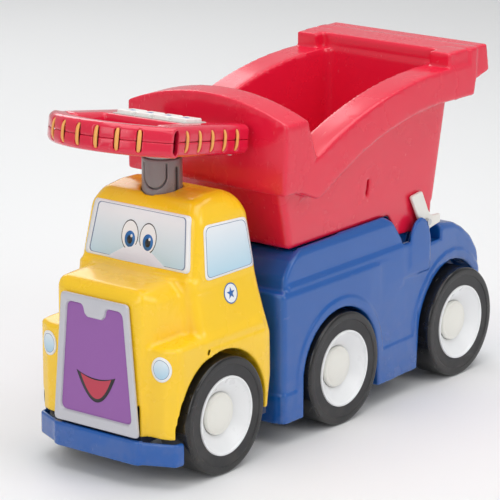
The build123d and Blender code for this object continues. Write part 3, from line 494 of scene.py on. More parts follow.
eye_white = print_ink("eye_white", (0.88, 0.88, 0.88))
ink_black = print_ink("ink_black", (0.012, 0.012, 0.016))
iris_blue = print_ink("iris_blue", (0.02, 0.16, 0.46))
eye_layers = []
for eye_x in (-13.5, 13.5):
    eye_layers += [(oval(eye_x, 269, 12.5, 17.5), (0, 0.9), (1, 0), 0.62, 0),
                   (oval(eye_x + 0.6, 264.5, 7.6, 9.4), (0,), (2,), 0.78, 0),
                   (oval(eye_x + 0.6, 264.0, 4.0, 5.0, 24), (0,), (1,), 0.94, 0),
                   (oval(eye_x + 2.8, 268.4, 1.6, 1.8, 16), (0,), (0,), 1.10, 0)]
eyes = film("eyes", eye_layers, on_front, [eye_white, ink_black, iris_blue])
fit(eyes, "chassis", "sky_label")

BADGE_Y, BADGE_Z = -196.5, 206
star = []
for k in range(10):
    reach, turn = (7.2 if k % 2 == 0 else 2.9), math.pi * k / 5 + math.pi / 2
    star.append((BADGE_Y + reach * math.cos(turn), BADGE_Z + reach * math.sin(turn)))
badge_blue = print_ink("badge_blue", (0.02, 0.13, 0.42))
for side_name, lay_side in (("left", on_left), ("right", on_right)):
    badge = film(side_name + "_badge", [(oval(BADGE_Y, BADGE_Z, 12, 12), (0, 1.4), (0, 1), 0.4, 0),
                                        (dense(star, 2), (0,), (0,), 0.6, 0)], lay_side,
                 [badge_blue, border_white])
    fit(badge, "chassis", "white_plastic")

lens_sky = fading_print("lens_sky", 128, 156, (0.36, 0.60, 0.76), (0.80, 0.86, 0.90))
for side_name, sign in (("left", 1), ("right", -1)):
    lamp = oval(sign * 84, 141.6, 12.3, 14.8)
    ring = film(side_name + "_lamp", [(lamp, (0, 2.6, 3.2), (0, 1, 2), 0.9, 0.5)], on_front,
                [border_white, line_grey, lens_sky], thick=1.1)
    fit(ring, "chassis", "white_plastic", *(("headlight_rings", "headlight_lenses") if sign == 1 else ()))


# ---- Grille
# A silver surround stands proud of the hood round a recessed purple panel. A rounded tab drops
# into the panel at the top, and the panel carries a plain half-moon smile.
silver = plastic("silver_moulding", (0.56, 0.56, 0.60), rough=0.36, drift=0.012, dust=0.1, ripple=0.07,
                 Metallic=0.25)
grille_outer = softened(mirrored([(63.7, 58.8), (49.8, 214.3)]), 6)
grille_inner = softened(mirrored([(52.3, 74), (40.5, 203)]), 7)
grille_tab = softened([(-19, 206), (-16, 193), (-11, 188.5), (11, 188.5), (16, 193), (19, 206)],
                      [0, 4, 5, 5, 4, 0])


def surround_body(x, y, z):
    """The frame round the grille, its inner edge sloped towards the panel."""
    window_gap = cut(outline_distance(x, z, grille_inner), outline_distance(x, z, grille_tab), 3)
    frame_plate = meet(outline_distance(x, z, grille_outer), slab(y, -330.6, -325.9), 1.8)
    slope = window_gap + (y + 326) * 0.45
    return cut(frame_plate, slope, 1.0)


surround = cast("grille_frame", surround_body, (-65, -331, 58), (65, -325, 215), 0.8, silver, 0.02)
fit(surround, "chassis", "silver_grey", "grille_surround")

panel_purple = print_ink("panel_purple", (0.29, 0.10, 0.37))
mouth_red = print_ink("mouth_red", (0.50, 0.035, 0.07))


def on_panel(points, lifts):
    """Print places on the flat grille panel: across the truck, and height."""
    return np.stack([points[:, 0], -327.4 - lifts, points[:, 1]], 1)


panel = film("grille_face", [(dense(softened(mirrored([(53.6, 72.6), (41.6, 204.4)]), 7), 8), (0, 1.5, 20),
                              (0, 0, 0), 0.4, 0.3)], on_panel, [panel_purple], thick=1.2)
fit(panel, "chassis", "purple", "grille_panel")
top_line = [(u, 118 + 0.0072 * u * u) for u in np.linspace(-29, 29, 25)]
low_line = [(u, 90 + 0.0405 * u * u) for u in np.linspace(27.5, -27.5, 25)]
smile = film("smile", [(dense(top_line + low_line, 3), (0, 1.5), (0, 1), 0.95, 0)], on_panel,
             [ink_black, mouth_red], thick=0.25)
fit(smile, "chassis", "purple")


# ---- Dump body
# Blue polyethylene hood over the four rear wheels, moulded hollow and open below. Two rails carry
# the bed, raised trims run round the arches, and ears at the rear hold the hinge rod.
body_blue = plastic("body_blue", (0.004, 0.092, 0.38), rough=0.22, drift=0.028, scuffs=0.275, dust=0.18,
                    coat=0.35)
REAR_AXLE = 248.0
HINGE_Y, HINGE_Z = 188.0, 212.0
DECK, SEAT = 228.7, 90.6
BODY_FOOT = 26.2
body_side = softened([(-118, -10), (-118, 187), (190, 187), (203, 199), (235, 199.5), (262, 195), (284, 184),
                      (305, 169), (323, 147), (334, 122), (338, 96), (338, 44), (328, -10)],
                     [0, 3, 14, 14, 40, 40, 40, 40, 40, 40, 30, 20, 0])
body_plan = softened(mirrored([(92, -118.5), (104, -111), (104, 60), (98, 190), (91, 262), (86, 322),
                               (70, 338)]), [5, 8, 60, 60, 40, 16, 12, 12, 16, 40, 60, 60, 8, 5])
rail_side = softened([(-109, 140), (-104, 203), (-91, 221), (-72, 233), (100, 238), (114.7, 227.6),
                      (136.4, 200), (139, 140)], [0, 14, 14, 14, 10, 10, 20, 0])
rail_front = softened(mirrored([(99, 90), (99, 226), (88, 243)]), [0, 9, 9, 9, 9, 0])
shoulder_side = softened([(-100, 150), (-100, 193), (165, 193.5), (186, 203), (192, 150)], [0, 6, 12, 12, 0])
ear_side = softened([(146, 160), (150, 204), (158, 217), (170, 222.7), (181, 217), (188, 207), (192, 190),
                     (192, 160)], [0, 12, 12, 12, 12, 10, 8, 0])
lug_side = softened([(166, 178), (177, 212), (182, 222), (194, 222), (199, 212), (210, 178)],
                    [0, 6, 6, 6, 6, 0])


def body_outside(x, y, z):
    """Outer form: main hood, shoulder step and rails, with raised trims round the arches."""
    across = np.abs(x)
    main = meet(outline_distance(y, z, body_side), outline_distance(x, y, body_plan), 8)
    trim = np.minimum(np.hypot(y, z - AXLE_Z) - 87.5, np.hypot(y - REAR_AXLE, z - AXLE_Z) - 91.5)
    trim = np.minimum(trim, np.maximum(z - 72, slab(y, 60, 200)))
    trim = np.minimum(trim, np.maximum(z - 63, y + 60))
    main = join(main, meet(main - 1.8, trim, 1.2), 1.5)
    shoulder = meet(outline_distance(y, z, shoulder_side), across - 101.3, 3)
    rail = meet(outline_distance(y, z, rail_side), outline_distance(x, z, rail_front), 5)
    return join(join(main, shoulder, 1.2), rail, 4)


def body_cuts(x, y, z, grow):
    """Openings in the top: the bed's seat, the hinge bay and the lever's slot."""
    across = np.abs(x)
    seat = np.maximum(across - SEAT, DECK - z)
    bay = np.maximum(np.maximum(across - SEAT, slab(y, 108, 224)), 180 - z)
    slot = np.maximum(np.maximum(97.6 - across, slab(y, 150, 224)), 180 - z)
    rear = np.maximum(slab(y, 192, 224), 182 - z)
    return np.minimum(np.minimum(seat, bay), np.minimum(slot, rear)) - grow


def body_shell(x, y, z):
    """The hollow body with its wheel wells, ears and hinge lugs."""
    across = np.abs(x)
    filled = cut(body_outside(x, y, z), body_cuts(x, y, z, 0), 1.5)
    wells = np.minimum(arch(y, z, 0, 74.5, 75, 84), arch(y, z, REAR_AXLE, 78, 87, 82))
    filled = cut(filled, meet(wells, WELL_IN - across, 3), 2.4)
    ear = meet(outline_distance(y, z, ear_side), slab(across, 97.6, 101.8), 1.2)
    lug = meet(outline_distance(y, z, lug_side), slab(across, 77, 84.2), 1.2)
    skin = np.maximum(filled, -(filled + WALL))
    skin = join(join(skin, ear, 1.5), lug, 1.5)
    skin = cut(skin, z - BODY_FOOT, 0.8)
    skin = np.maximum(skin, -np.maximum(np.maximum(across - FRAME_HALF, z - 94.2), y - 334.2))
    holes = np.minimum(np.hypot(y, z - AXLE_Z), np.hypot(y - REAR_AXLE, z - AXLE_Z)) - AXLE_HOLE
    rod = np.hypot(y - HINGE_Y, z - HINGE_Z) - 4.2
    return np.maximum(np.maximum(skin, -holes), -rod)


body = cast("dump_body", body_shell, (-107, -120, 26), (107, 340, 245), 2.0, body_blue, 0.03)
fit(body, "chassis", "blue", "body_shell")


# ---- Bumpers
# The front bumper wraps the cab's nose, its middle a little proud of the ends. A rounded plate
# closes the rear of the body.
bumper_outer = softened(mirrored([(97, -296), (104.5, -297), (103.5, -310), (69, -325.5), (60, -331)]),
                        [0, 2, 8, 20, 20, 20, 20, 8, 2, 0])
bumper_inner = softened(mirrored([(99.3, -270), (99.3, -300), (98.2, -307.5), (66, -321), (58, -326)]),
                        [0, 2, 6, 12, 12, 12, 12, 6, 2, 0])


def front_bumper_body(x, y, z):
    """The bumper bar with its proud middle and two fixing tabs."""
    across = np.abs(x)
    outer = outline_distance(x, y, bumper_outer)
    bar = meet(outer, slab(z, 27.2, 54.6), 3)
    middle = meet(meet(outer - 1.6, across - 65, 2), slab(z, 27, 56.2), 3)
    bar = cut(join(bar, middle, 1), outline_distance(x, y, bumper_inner), 0.8)
    tabs = meet(slab(across, 10, 30), slab(y, -328, -305), 1.5)
    tabs = meet(tabs, slab(z, 43.8, 47.8), 0.8)
    holes = np.hypot(across - 20, y + 312) - 1.8
    return np.maximum(join(bar, tabs, 1), -holes)


bumper = cast("nose_bumper", front_bumper_body, (-107, -334, 26), (107, -296, 57), 1.1, body_blue, 0.02)
fit(bumper, "chassis", "blue", "front_bumper")
tail_outline = softened(mirrored([(78, 50), (78, 86)]), 8)


def tail_body(x, y, z):
    """The flat plate at the rear, its rim rounded."""
    return meet(outline_distance(x, z, tail_outline), slab(y, 338.2, 344.2), 2.4)


tail = cast("tail_plate", tail_body, (-79, 337, 49), (79, 345, 87), 1.0, body_blue, 0.02)
fit(tail, "chassis", "blue", "rear_bumper")


# ---- Dump bed
# Red, moulded as a hollow double skin, so its rim is a broad flat band. The rim sweeps up to a
# thick lip at the rear with a forward step at each end, and two tongues below reach the hinge.
bed_red = plastic("bed_red", (0.76, 0.010, 0.045), rough=0.25, drift=0.024, scuffs=0.3, dust=0.1, coat=0.3)
bin_side = softened([(-84, 229), (-112, 312), (-112, 470), (222, 470), (220, 358), (215, 229)],
                    [12, 3, 0, 0, 3, 8])
bin_front = softened(mirrored([(89, 229), (104, 362), (104, 470)]), [5, 10, 0, 0, 10, 5])
band_side = softened([(-130, 309.5), (-98, 308), (-62, 293), (-23, 313), (16, 331), (56, 345), (98, 355),
                      (139, 362), (182, 365), (256.5, 364), (260, 382), (262, 470), (-127, 470)],
                     [3, 8, 16, 60, 60, 60, 60, 60, 20, 3, 0, 0, 0])
band_front = mirrored([(117.6, 270), (121, 470)])
lip_side = softened([(217, 364), (256.5, 364), (260, 382), (291, 390), (285, 424.5), (217, 424.5)],
                    [0, 2, 6, 3, 2, 2])
load_side = softened([(-62, 233), (-86.5, 392), (-86.5, 480), (217, 480), (217, 400), (206, 233)],
                     [10, 20, 0, 0, 20, 12])
load_front = softened(mirrored([(71, 233), (80, 392), (80, 480)]), [8, 20, 0, 0, 20, 8])
load_plan = softened(mirrored([(80, -86.5), (80, 217)]), 18)
tongue_side = softened([(112, 240), (137.8, 204.6), (176, 201), (188, 199), (199, 204), (207, 216),
                        (209, 240)], [0, 5, 10, 10, 8, 8, 0])


def arc_through(start, middle, end, count):
    """Points on the circle through three places."""
    (ax, ay), (bx, by), (cx, cy) = start, middle, end
    twice_area = 2 * (ax * (by - cy) + bx * (cy - ay) + cx * (ay - by))
    aa, bb, cc = ax * ax + ay * ay, bx * bx + by * by, cx * cx + cy * cy
    u = (aa * (by - cy) + bb * (cy - ay) + cc * (ay - by)) / twice_area
    v = (aa * (cx - bx) + bb * (ax - cx) + cc * (bx - ax)) / twice_area
    first, last = math.atan2(ay - v, ax - u), math.atan2(cy - v, cx - u)
    radius = math.hypot(ax - u, ay - v)
    return [(u + radius * math.cos(t), v + radius * math.sin(t)) for t in np.linspace(first, last, count)]


rim_sweep = arc_through((-68.7, 344.8), (40, 386), (202, 406.3), 28)
over_rim = [(-86.5, 520), (-86.5, 392), *rim_sweep, (245, 406.3), (245, 424.5), (330, 424.5), (330, 520)]
front_arch = [*arc_through((-121, 391.8), (0, 417), (121, 391.8), 24), (160, 391.8), (160, 520), (-160, 520),
              (-160, 391.8)]


def bed_body(x, y, z):
    """The bed: bin and band under the swept rim, the lip, the load space and the tongues."""
    across = np.abs(x)
    bin_form = meet(outline_distance(y, z, bin_side), outline_distance(x, z, bin_front), 9)
    band = meet(outline_distance(y, z, band_side), outline_distance(x, z, band_front), 3)
    blank = join(bin_form, band, 2.5)
    blank = cut(blank, outline_distance(y, z, over_rim), 2.2)
    blank = cut(blank, np.maximum(outline_distance(x, z, front_arch), y + 86.5), 2.2)
    lip = meet(outline_distance(y, z, lip_side), across - 117.5, 2.5)
    gusset = meet(meet(slab(across, 87, 117.5), slab(y, 202, 240), 2), slab(z, 396, 424.5), 2)
    blank = join(join(blank, lip, 2), gusset, 1.5)
    load = meet(meet(outline_distance(y, z, load_side), outline_distance(x, z, load_front), 10),
                outline_distance(x, y, load_plan), 4)
    blank = cut(blank, load, 2.0)
    tongue = meet(outline_distance(y, z, tongue_side), slab(across, 85, 89), 0.8)
    blank = join(blank, tongue, 1.5)
    drain = meet(np.hypot(y - 66, np.maximum(np.abs(z - 279) - 8.8, 0)) - 2.2, 84 - across, 0)
    rod = np.hypot(y - HINGE_Y, z - HINGE_Z) - 4.2
    return np.maximum(cut(blank, drain, 0.8), -rod)


bed = cast("tipping_bed", bed_body, (-122, -131, 198), (122, 292, 426), 2.1, bed_red, 0.03)
fit(bed, "bed", "red", "dump_bed")


# ---- Dump lever
# White lever on the left end of the hinge rod: a long upper arm, a round eye and a short tail.
lever_white = plastic("lever_white", (0.80, 0.78, 0.73), rough=0.34, drift=0.016, scuffs=0.2, ripple=0.087)
lever_side = softened([(154, 250), (177.5, 253), (195, 219), (199, 217.5), (217.5, 216.5), (218, 205.5),
                       (190, 201), (178, 207)], [3, 3, 6, 4, 2, 2, 6, 4])


def lever_body(x, y, z):
    """The lever plate with its eye round the rod."""
    flat = join(outline_distance(y, z, lever_side), np.hypot(y - HINGE_Y, z - HINGE_Z) - 11, 4)
    plate = meet(flat, slab(x, 92.6, 97.2), 1.2)
    sunk = meet(flat + 3.4, x - 96.2, 0)
    plate = np.maximum(plate, -np.maximum(sunk, 96.4 - x))
    return np.maximum(plate, -(np.hypot(y - HINGE_Y, z - HINGE_Z) - 4.15))


lever = cast("tip_lever", lever_body, (92, 153, 198), (98, 219, 254), 0.7, lever_white, 0.02)
fit(lever, "lever", "white_plastic", "dump_lever")


# ---- Wheels
# Six alike: a hollow black tyre with a flat matt sidewall and a glossy round tread, a white dished
# hub with a rolled lip, and a domed cap pressed over the axle's end.
def turned(name, rings, closed, places, material, count=96):
    """A lathe-turned piece about a wheel's axis; rings are (radius, distance out from the truck)."""
    axle_y, sign = places
    spots, faces = [], []
    for k in range(count):
        turn = 2 * math.pi * k / count
        for radius, out in rings:
            spots.append(at(sign * out, axle_y + radius * math.cos(turn), AXLE_Z + radius * math.sin(turn)))
    size = len(rings)
    spans = range(size if closed else size - 1)
    for k in range(count):
        for j in spans:
            a, b = k * size + j, k * size + (j + 1) % size
            c, d = (k + 1) % count * size + (j + 1) % size, (k + 1) % count * size + j
            faces.append((a, b, c, d))
    return faced_outward(solid(name, spots, faces, material), 1e-6)


tyre_gloss = plastic("tyre_gloss", (0.010, 0.010, 0.011), rough=0.20, drift=0.04, dust=0.1, ripple=0.087)
tyre_matt = plastic("tyre_matt", (0.022, 0.022, 0.024), rough=0.50, drift=0.04, scuffs=0.2, dust=0.14,
                    ripple=0.14)
hub_white = plastic("hub_white", (0.83, 0.84, 0.85), drift=0.008, dust=0.048, ripple=0.07)
cap_cream = plastic("cap_cream", (0.83, 0.82, 0.76), rough=0.34, drift=0.012, scuffs=0.2, dust=0.048,
                    ripple=0.07)
tread = softened([(47.2, 62), (70, 62), (70, 110.4), (61, 110.4), (60, 109.2), (47.2, 109.2)],
                 [1, 14, 15, 1, 1, 0.5])
hub_rings = softened([(47, 111), (47, 63), (44, 63), (44, 99), (27.5, 91.2), (11, 91.2), (11, 60), (5.1, 60),
                      (5.1, 94), (24.6, 94), (26.4, 96.2), (43.2, 108.5), (44.6, 111)],
                     [1.2, 1, 1, 3, 3, 1, 0.5, 0.5, 0.3, 1, 2, 4, 1.2])
cap_rings = [(0, 103.6), (8, 103.3), (15, 102.4), (20, 101.1), (21.4, 100.3), (22.2, 100.3), (23.0, 100.6),
             (24.4, 99.6), (25, 98.0), (25, 96.2), (24.6, 94.3), (10.4, 94.3), (10.2, 100.2), (0, 100.2)]
for axle_name, axle_y in (("front", FRONT_AXLE), ("middle", 0.0), ("rear", REAR_AXLE)):
    for side_name, sign in (("left", 1), ("right", -1)):
        wheel = f"{axle_name}_{side_name}"
        tyre = turned(wheel + "_rubber", tread, True, (axle_y, sign), tyre_gloss)
        tyre.data.materials.append(tyre_matt)
        for face in tyre.data.polygons:
            middle = face.center
            off_axis = math.hypot(middle.y - (axle_y + MID_Y) * MM, middle.z - AXLE_Z * MM) / MM
            face.material_index = int(off_axis < 60.6 and abs(middle.x) / MM > 105)
        fit(tyre, wheel + "_wheel", "tyre_black", wheel + "_tyre")
        hub = turned(wheel + "_dish", hub_rings, True, (axle_y, sign), hub_white)
        fit(hub, wheel + "_wheel", "white_plastic", wheel + "_hub")
        cap = turned(wheel + "_cap", cap_rings, False, (axle_y, sign), cap_cream, 64)
        fit(cap, wheel + "_wheel", "white_plastic", wheel + "_hub_cap")


# ---- Steering column
# A grey-brown sleeve stands in the roof with a U-shaped snap finger at its front and a slot in its
# left side. The paler collar under the wheel turns with it.
column_grey = plastic("column_grey", (0.23, 0.20, 0.20), rough=0.32, drift=0.016, dust=0.08, ripple=0.07)
collar_grey = plastic("collar_grey", (0.45, 0.42, 0.41), rough=0.32, drift=0.016, scuffs=0.2, dust=0.08,
                      ripple=0.07)
finger_turn = math.radians(-75)


def sleeve_body(x, y, z):
    """The sleeve with its flange, the channel round the snap finger and the open side slot."""
    v = y - COLUMN_Y
    radius = np.hypot(x, v)
    tube = join(meet(radius - 23.5, slab(z, 300, 356), 1.0), meet(radius - 27, slab(z, 300, 304), 0.8), 1)
    round_front = (np.arctan2(v, x) - finger_turn) * 23.5
    finger = np.hypot(round_front, np.maximum(338 - z, 0)) - 15.5
    channel = np.maximum(np.abs(finger) - 1.0, 20 - radius)
    channel = np.maximum(channel, z - 352)
    tube = cut(tube, channel, 0.6)
    slot = np.hypot(np.maximum(np.abs(z - 330) - 14, 0), (np.arctan2(v, x) + 0.05) * 23.5) - 3.2
    tube = cut(tube, np.maximum(slot, -x), 0.5)
    return cut(tube, radius - 19.7, 0.6)


sleeve = cast("column_tube", sleeve_body, (-28, -236, 299), (28, -180, 357), 0.8, column_grey, 0.02)
fit(sleeve, "chassis", "column_grey", "column_sleeve")

STEER_Z = 384.0
steer_turn, steer_tilt = math.radians(5.0), math.radians(9.7)
wheel_u = Vector((math.cos(steer_turn), math.sin(steer_turn), 0))
wheel_v = Vector((-math.sin(steer_turn) * math.cos(steer_tilt), math.cos(steer_turn) * math.cos(steer_tilt),
                  -math.sin(steer_tilt)))
wheel_h = wheel_u.cross(wheel_v)
wheel_turn = Matrix((wheel_u, wheel_v, wheel_h)).transposed().to_4x4()
wheel_place = Matrix.Translation(at(0, COLUMN_Y, STEER_Z)) @ wheel_turn


def collar_body(x, y, z):
    """The turned collar: a short skirt that swells into a broad shoulder under the wheel."""
    v = y - COLUMN_Y
    radius = np.hypot(x, v)
    above = (x * wheel_h.x + v * wheel_h.y + (z - STEER_Z) * wheel_h.z) + 17.7
    skirt = meet(radius - 21.5, slab(z, 356.9, 400), 1.2)
    shoulder = meet(radius - 24.5, slab(z, 361.5, 400), 2)
    return np.maximum(join(skirt, shoulder, 1.5), above)


collar = cast("wheel_collar", collar_body, (-26, -234, 356), (26, -182, 374), 0.8, collar_grey, 0.02)
fit(collar, "steering_wheel", "collar_grey", "steering_collar")


# ---- Steering wheel shells
# Two red half shells meet at a fine seam. A round loop reaches forward, two straight grips run back
# with a small step where they start, and the console between them holds the keys.
wheel_red = plastic("wheel_red", (0.70, 0.008, 0.045), rough=0.20, scuffs=0.3, dust=0, ripple=0.087, coat=0.4)
LOOP_R, LOOP_V = 104.0, -44.0
GRIP_MID, GRIP_HALF_W = 65.5, 14.5
GRIP_OUT = GRIP_MID + GRIP_HALF_W
GRIP_FRONT, GRIP_REAR = -98.0, 66.0
CONSOLE = (-42.0, 26.0)
FRONT_RIBS, FRONT_STEP = 6, math.radians(13.8)
GRIP_RIBS, GRIP_RIB_FRONT, GRIP_STEP = 5, -66.0, 25.5


def wheel_outside(u, v, h):
    """Outer form of the steering wheel in its own frame: across, to the rear, up."""
    ring = np.abs(np.hypot(u, v - LOOP_V) - (LOOP_R - 12.5)) - 12.5
    loop = meet(np.maximum(ring, v - GRIP_FRONT - 10), np.abs(h) - 17.2, 8)
    across = np.abs(np.abs(u) - GRIP_MID) - GRIP_HALF_W
    grips = meet(meet(across, slab(v, GRIP_FRONT, GRIP_REAR), 9), np.abs(h) - 17.5, 8)
    console = meet(meet(np.abs(u) - 56, slab(v, *CONSOLE), 3), np.abs(h) - 17.0, 4)
    return join(join(loop, grips, 1.0), console, 3)


def rib_spots():
    """Rib centres on the outer face, in the wheel's own frame, with the outward angle."""
    spots = []
    for k in range(FRONT_RIBS):
        turn = -math.pi / 2 + (k - (FRONT_RIBS - 1) / 2) * FRONT_STEP
        spots.append((LOOP_R * math.cos(turn), LOOP_V + LOOP_R * math.sin(turn), turn))
    for sign in (1, -1):
        for k in range(GRIP_RIBS):
            spots.append((sign * GRIP_OUT, GRIP_RIB_FRONT + k * GRIP_STEP, 0 if sign > 0 else math.pi))
    return spots


def wheel_half(sign):
    """The distance field of the upper (+1) or lower (-1) half shell."""
    def half(u, v, h):
        outside = wheel_outside(u, v, h)
        shell = np.maximum(outside, -(outside + 2.6))
        shell = meet(shell, 0.06 - sign * h, 0.9)
        for rib_u, rib_v, turn in rib_spots():
            along = (v - rib_v) * math.cos(turn) - (u - rib_u) * math.sin(turn)
            out = (u - rib_u) * math.cos(turn) + (v - rib_v) * math.sin(turn)
            sink = np.maximum(np.hypot(along, np.maximum(np.abs(h) - 10, 0)) - 3.4, np.abs(out + 0.5) - 1.6)
            shell = np.maximum(shell, -sink)
        posts = np.hypot(np.abs(u) - 63.5, np.minimum(np.abs(v + 72), np.abs(v - 48)))
        post = np.maximum(posts - 4, 0.06 - sign * h)
        shell = np.minimum(shell, np.maximum(post, outside))
        shell = np.maximum(shell, -np.maximum(posts - 1.7, h - 9))
        if sign > 0:
            return np.maximum(shell, -np.maximum(np.maximum(np.abs(u) - 50.7, np.abs(v + 8) - 23.2), 2 - h))
        door = np.maximum(np.maximum(np.abs(u - 36.5) - 13.3, np.abs(v + 14) - 25.3), h + 12)
        return np.maximum(shell, -door)
    return half


def cast_on_wheel(name, field, low, high, step, material, adapt=0.0):
    """Casts a piece that is described in the steering wheel's own frame."""
    made = cast(name, field, low, high, step, material, adapt)
    made.data.transform(wheel_place @ Matrix.Translation((0, -MID_Y * MM, 0)))
    return made


for half_name, sign in (("upper", 1), ("lower", -1)):
    low, high = (-82, -150, -1 if sign > 0 else -18), (82, 67, 18 if sign > 0 else 1)
    half = cast_on_wheel("rim_" + half_name, wheel_half(sign), low, high, 1.15, wheel_red, 0.03)
    fit(half, "steering_wheel", "red", f"wheel_{half_name}_shell")


# ---- Grip ribs
# Raised orange ribs wrap the rim's outer face: six round the front loop and five on each grip. One
# rib is repeated by geometry nodes along an arc or a straight row.
rib_orange = plastic("rib_orange", (0.86, 0.40, 0.095), rough=0.38, drift=0.024, dust=0)


def rib_mesh():
    """One slender rib about its own centre: out along X, along the rim in Y, up in Z."""
    spots, faces = [], []
    for t in np.linspace(-1, 1, 15):
        bend = -4.6 * abs(t) ** 3.2 + 0.3
        width = 2.35 * math.sqrt(max(1 - t ** 4, 0.02))
        for turn in np.linspace(0, 2 * math.pi, 13)[:-1]:
            bulge = 1.35 * math.cos(turn) * math.sqrt(max(1 - t ** 6, 0.05))
            spots.append(Vector((bend + bulge, width * math.sin(turn), 14.2 * t)) * MM)
    for j in range(14):
        for k in range(12):
            n = (k + 1) % 12
            faces.append((j * 12 + k, j * 12 + n, j * 12 + 12 + n, j * 12 + 12 + k))
    faces += [tuple(range(11, -1, -1)), tuple(range(14 * 12, 15 * 12))]
    return solid("rib_unit", spots, faces, rib_orange)


def repeat_group():
    """Geometry nodes: one unit repeated along a row that can also swing round an arc."""
    group = bpy.data.node_groups.new("repeat_units", "GeometryNodeTree")
    face = group.interface
    face.new_socket("Geometry", in_out="OUTPUT", socket_type="NodeSocketGeometry")
    for name, kind in (("Unit", "Object"), ("Count", "Int"), ("Radius", "Float"), ("First Turn", "Float"),
                       ("Turn Step", "Float"), ("Start", "Vector"), ("Row Step", "Vector"),
                       ("Material", "Material")):
        face.new_socket(name, in_out="INPUT", socket_type="NodeSocket" + kind)
    given = group.nodes.new("NodeGroupInput").outputs

    def maths(operation, *values):
        return wired(group, "ShaderNodeMath", dict(enumerate(values)), operation=operation).outputs[0]

    index = group.nodes.new("GeometryNodeInputIndex").outputs[0]
    turn = maths("ADD", given["First Turn"], maths("MULTIPLY", index, given["Turn Step"]))
    swing = wired(group, "ShaderNodeCombineXYZ",
                  {"X": maths("MULTIPLY", given["Radius"], maths("COSINE", turn)),
                   "Y": maths("MULTIPLY", given["Radius"], maths("SINE", turn))})
    row = wired(group, "ShaderNodeVectorMath", {0: given["Row Step"], 1: index, 2: given["Start"]},
                operation="MULTIPLY_ADD")
    total = wired(group, "ShaderNodeVectorMath", {0: swing.outputs[0], 1: row.outputs[0]})
    points = wired(group, "GeometryNodePoints", {"Count": given["Count"], "Position": total.outputs[0]})
    facing = wired(group, "ShaderNodeCombineXYZ", {"Z": turn})
    source = wired(group, "GeometryNodeObjectInfo", {"Object": given["Unit"]})
    spread = wired(group, "GeometryNodeInstanceOnPoints",
                   {"Points": points.outputs[0], "Instance": source.outputs["Geometry"],
                    "Rotation": facing.outputs[0]})
    real = wired(group, "GeometryNodeRealizeInstances", {0: spread.outputs[0]})
    paint = wired(group, "GeometryNodeSetMaterial",
                  {"Geometry": real.outputs[0], "Material": given["Material"]})
    wired(group, "NodeGroupOutput", {0: paint.outputs[0]})
    return group


repeat_units = repeat_group()


def repeated(name, unit, material, count, radius=0.0, first=0.0, step=0.0, start=(0, 0, 0), row=(0, 0, 0)):
    """A plain mesh object from one run of the repeat group; lengths are in millimetres."""
    holder = bpy.data.objects.new(name, bpy.data.meshes.new(name))
    bpy.context.scene.collection.objects.link(holder)
    run = holder.modifiers.new("repeat", "NODES")
    run.node_group = repeat_units
    values = {"Unit": unit, "Count": count, "Radius": radius * MM, "First Turn": first, "Turn Step": step,
              "Start": [c * MM for c in start], "Row Step": [c * MM for c in row], "Material": material}
    for item in repeat_units.interface.items_tree:
        if item.in_out == "INPUT":
            run[item.identifier] = values[item.name]
    bpy.context.view_layer.update()
    shown = holder.evaluated_get(bpy.context.evaluated_depsgraph_get())
    mesh = bpy.data.meshes.new_from_object(shown)
    bpy.data.objects.remove(holder)
    made = bpy.data.objects.new(name, mesh)
    bpy.context.scene.collection.objects.link(made)
    return made


rib_unit = rib_mesh()
rib_rows = [repeated("front_ribs", rib_unit, rib_orange, FRONT_RIBS, LOOP_R,
                     -math.pi / 2 - FRONT_STEP * (FRONT_RIBS - 1) / 2, FRONT_STEP, (0, LOOP_V, 0)),
            repeated("left_ribs", rib_unit, rib_orange, GRIP_RIBS, start=(GRIP_OUT, GRIP_RIB_FRONT, 0),
                     row=(0, GRIP_STEP, 0)),
            repeated("right_ribs", rib_unit, rib_orange, GRIP_RIBS, first=math.pi,
                     start=(-GRIP_OUT, GRIP_RIB_FRONT, 0), row=(0, GRIP_STEP, 0))]
for number, row in enumerate(rib_rows):
    row.data.transform(wheel_place)
    fit(row, "steering_wheel", "orange", *(("grip_ribs",) if number == 0 else ()))
bpy.data.objects.remove(rib_unit)


# ---- Keys
# Four music keys press in through a pale grey bezel on the console. Each is a soft white pad with a round
# blue dot printed on it.
key_white = plastic("key_white", (0.84, 0.84, 0.81), rough=0.30, drift=0.012, scuffs=0.2, dust=0, ripple=0.07)
bezel_grey = plastic("bezel_grey", (0.55, 0.57, 0.54), rough=0.42, drift=0.016, scuffs=0.2, dust=0.04)
KEY_V, KEY_PITCH = -8.0, 25.0
key_centres = [(k - 1.5) * KEY_PITCH for k in range(4)]


def bezel_body(u, v, h):
    """The bezel plate with a window for each key."""
    plate = meet(meet(np.abs(u) - 50.3, np.abs(v - KEY_V) - 22.8, 2), slab(h, 15.1, 17.8), 0.6)
    for centre in key_centres:
        window_u, window_v = np.abs(u - centre) - 8.4, np.abs(v - KEY_V) - 14.4
        gap = np.hypot(np.maximum(window_u, 0), np.maximum(window_v, 0)) - 3.0
        plate = np.maximum(plate, -np.maximum(gap, -20 - h))
    return plate


bezel = cast_on_wheel("console_bezel", bezel_body, (-51, -32, 14), (51, 16, 19), 0.7, bezel_grey, 0.02)
fit(bezel, "steering_wheel", "key_grey", "key_bezel")


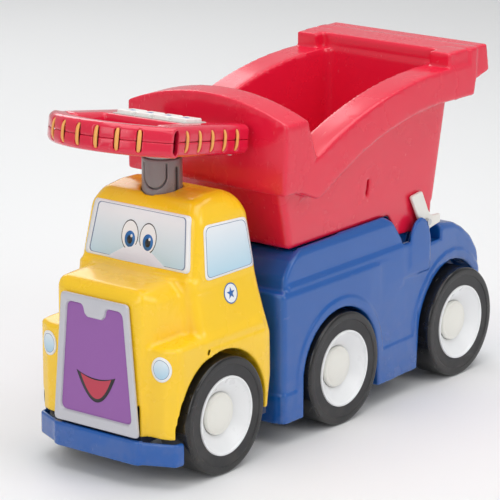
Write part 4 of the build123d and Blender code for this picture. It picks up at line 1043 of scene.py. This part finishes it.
def key_body(centre):
    """One key: a soft pad with a dished top."""
    def pad(u, v, h):
        plan_u, plan_v = np.abs(u - centre) - 8.0, np.abs(v - KEY_V) - 14.0
        plan = np.hypot(np.maximum(plan_u, 0), np.maximum(plan_v, 0)) - 2.9
        dish = 0.9 * np.exp(-((u - centre) ** 2 + (v - KEY_V) ** 2) / 60.0)
        return meet(plan, slab(h, 6.2, 21.8 - dish), 2.0)
    return pad


for number, centre in enumerate(key_centres, 1):
    pad = cast_on_wheel(f"pad_{number}", key_body(centre), (centre - 11, -26, 5), (centre + 11, 10, 23), 0.7,
                        key_white, 0.02)
    pad.data.materials.append(iris_blue)
    unplace = wheel_place.inverted()
    for face in pad.data.polygons:
        spot = unplace @ face.center / MM
        face.material_index = int(math.hypot(spot.x - centre, spot.y - KEY_V) < 3.6 and spot.z > 19)
    fit(pad, f"music_key_{number}", "white_plastic", f"key_{number}")


# ---- Frame, axles and fasteners
# The dark blue channel frame, the steel axles and rods, the screws and the parts inside the console
# keep their plain solids and take their surface finish here.
def metal(name, colour, rough):
    """Bright or plated metal with dull patches and a little staining."""
    return plastic(name, colour, rough=rough, drift=0.032, scuffs=0.3, dust=0.25, ripple=0.175, Metallic=1.0)


finishes = {
    "chassis_frame": plastic("frame_blue", (0.008, 0.022, 0.075), rough=0.45, drift=0.032, scuffs=0.3,
                             dust=0.24),
    "column_shaft": column_grey,
    "battery_door": wheel_red,
    "circuit_board": plastic("board_green", (0.02, 0.13, 0.055), rough=0.35, drift=0.04, scuffs=0.15, dust=0),
    "batteries": metal("battery_sleeve", (0.60, 0.42, 0.08), 0.35),
    "speaker": plastic("speaker_cone", (0.02, 0.02, 0.02), rough=0.6, drift=0.04, scuffs=0.1, dust=0),
    "headlight_rings": border_white,
    "headlight_lenses": lens_sky,
}
axle_steel = metal("axle_steel", (0.60, 0.60, 0.62), 0.28)
zinc = metal("screw_zinc", (0.66, 0.64, 0.58), 0.34)
for name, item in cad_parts.items():
    if name in finishes or name.endswith(("_axle", "_screws", "_nuts", "_washers", "hinge_rod")):
        item.data.materials.clear()
        plated = zinc if name.endswith(("_screws", "_nuts")) else axle_steel
        item.data.materials.append(finishes.get(name, plated))
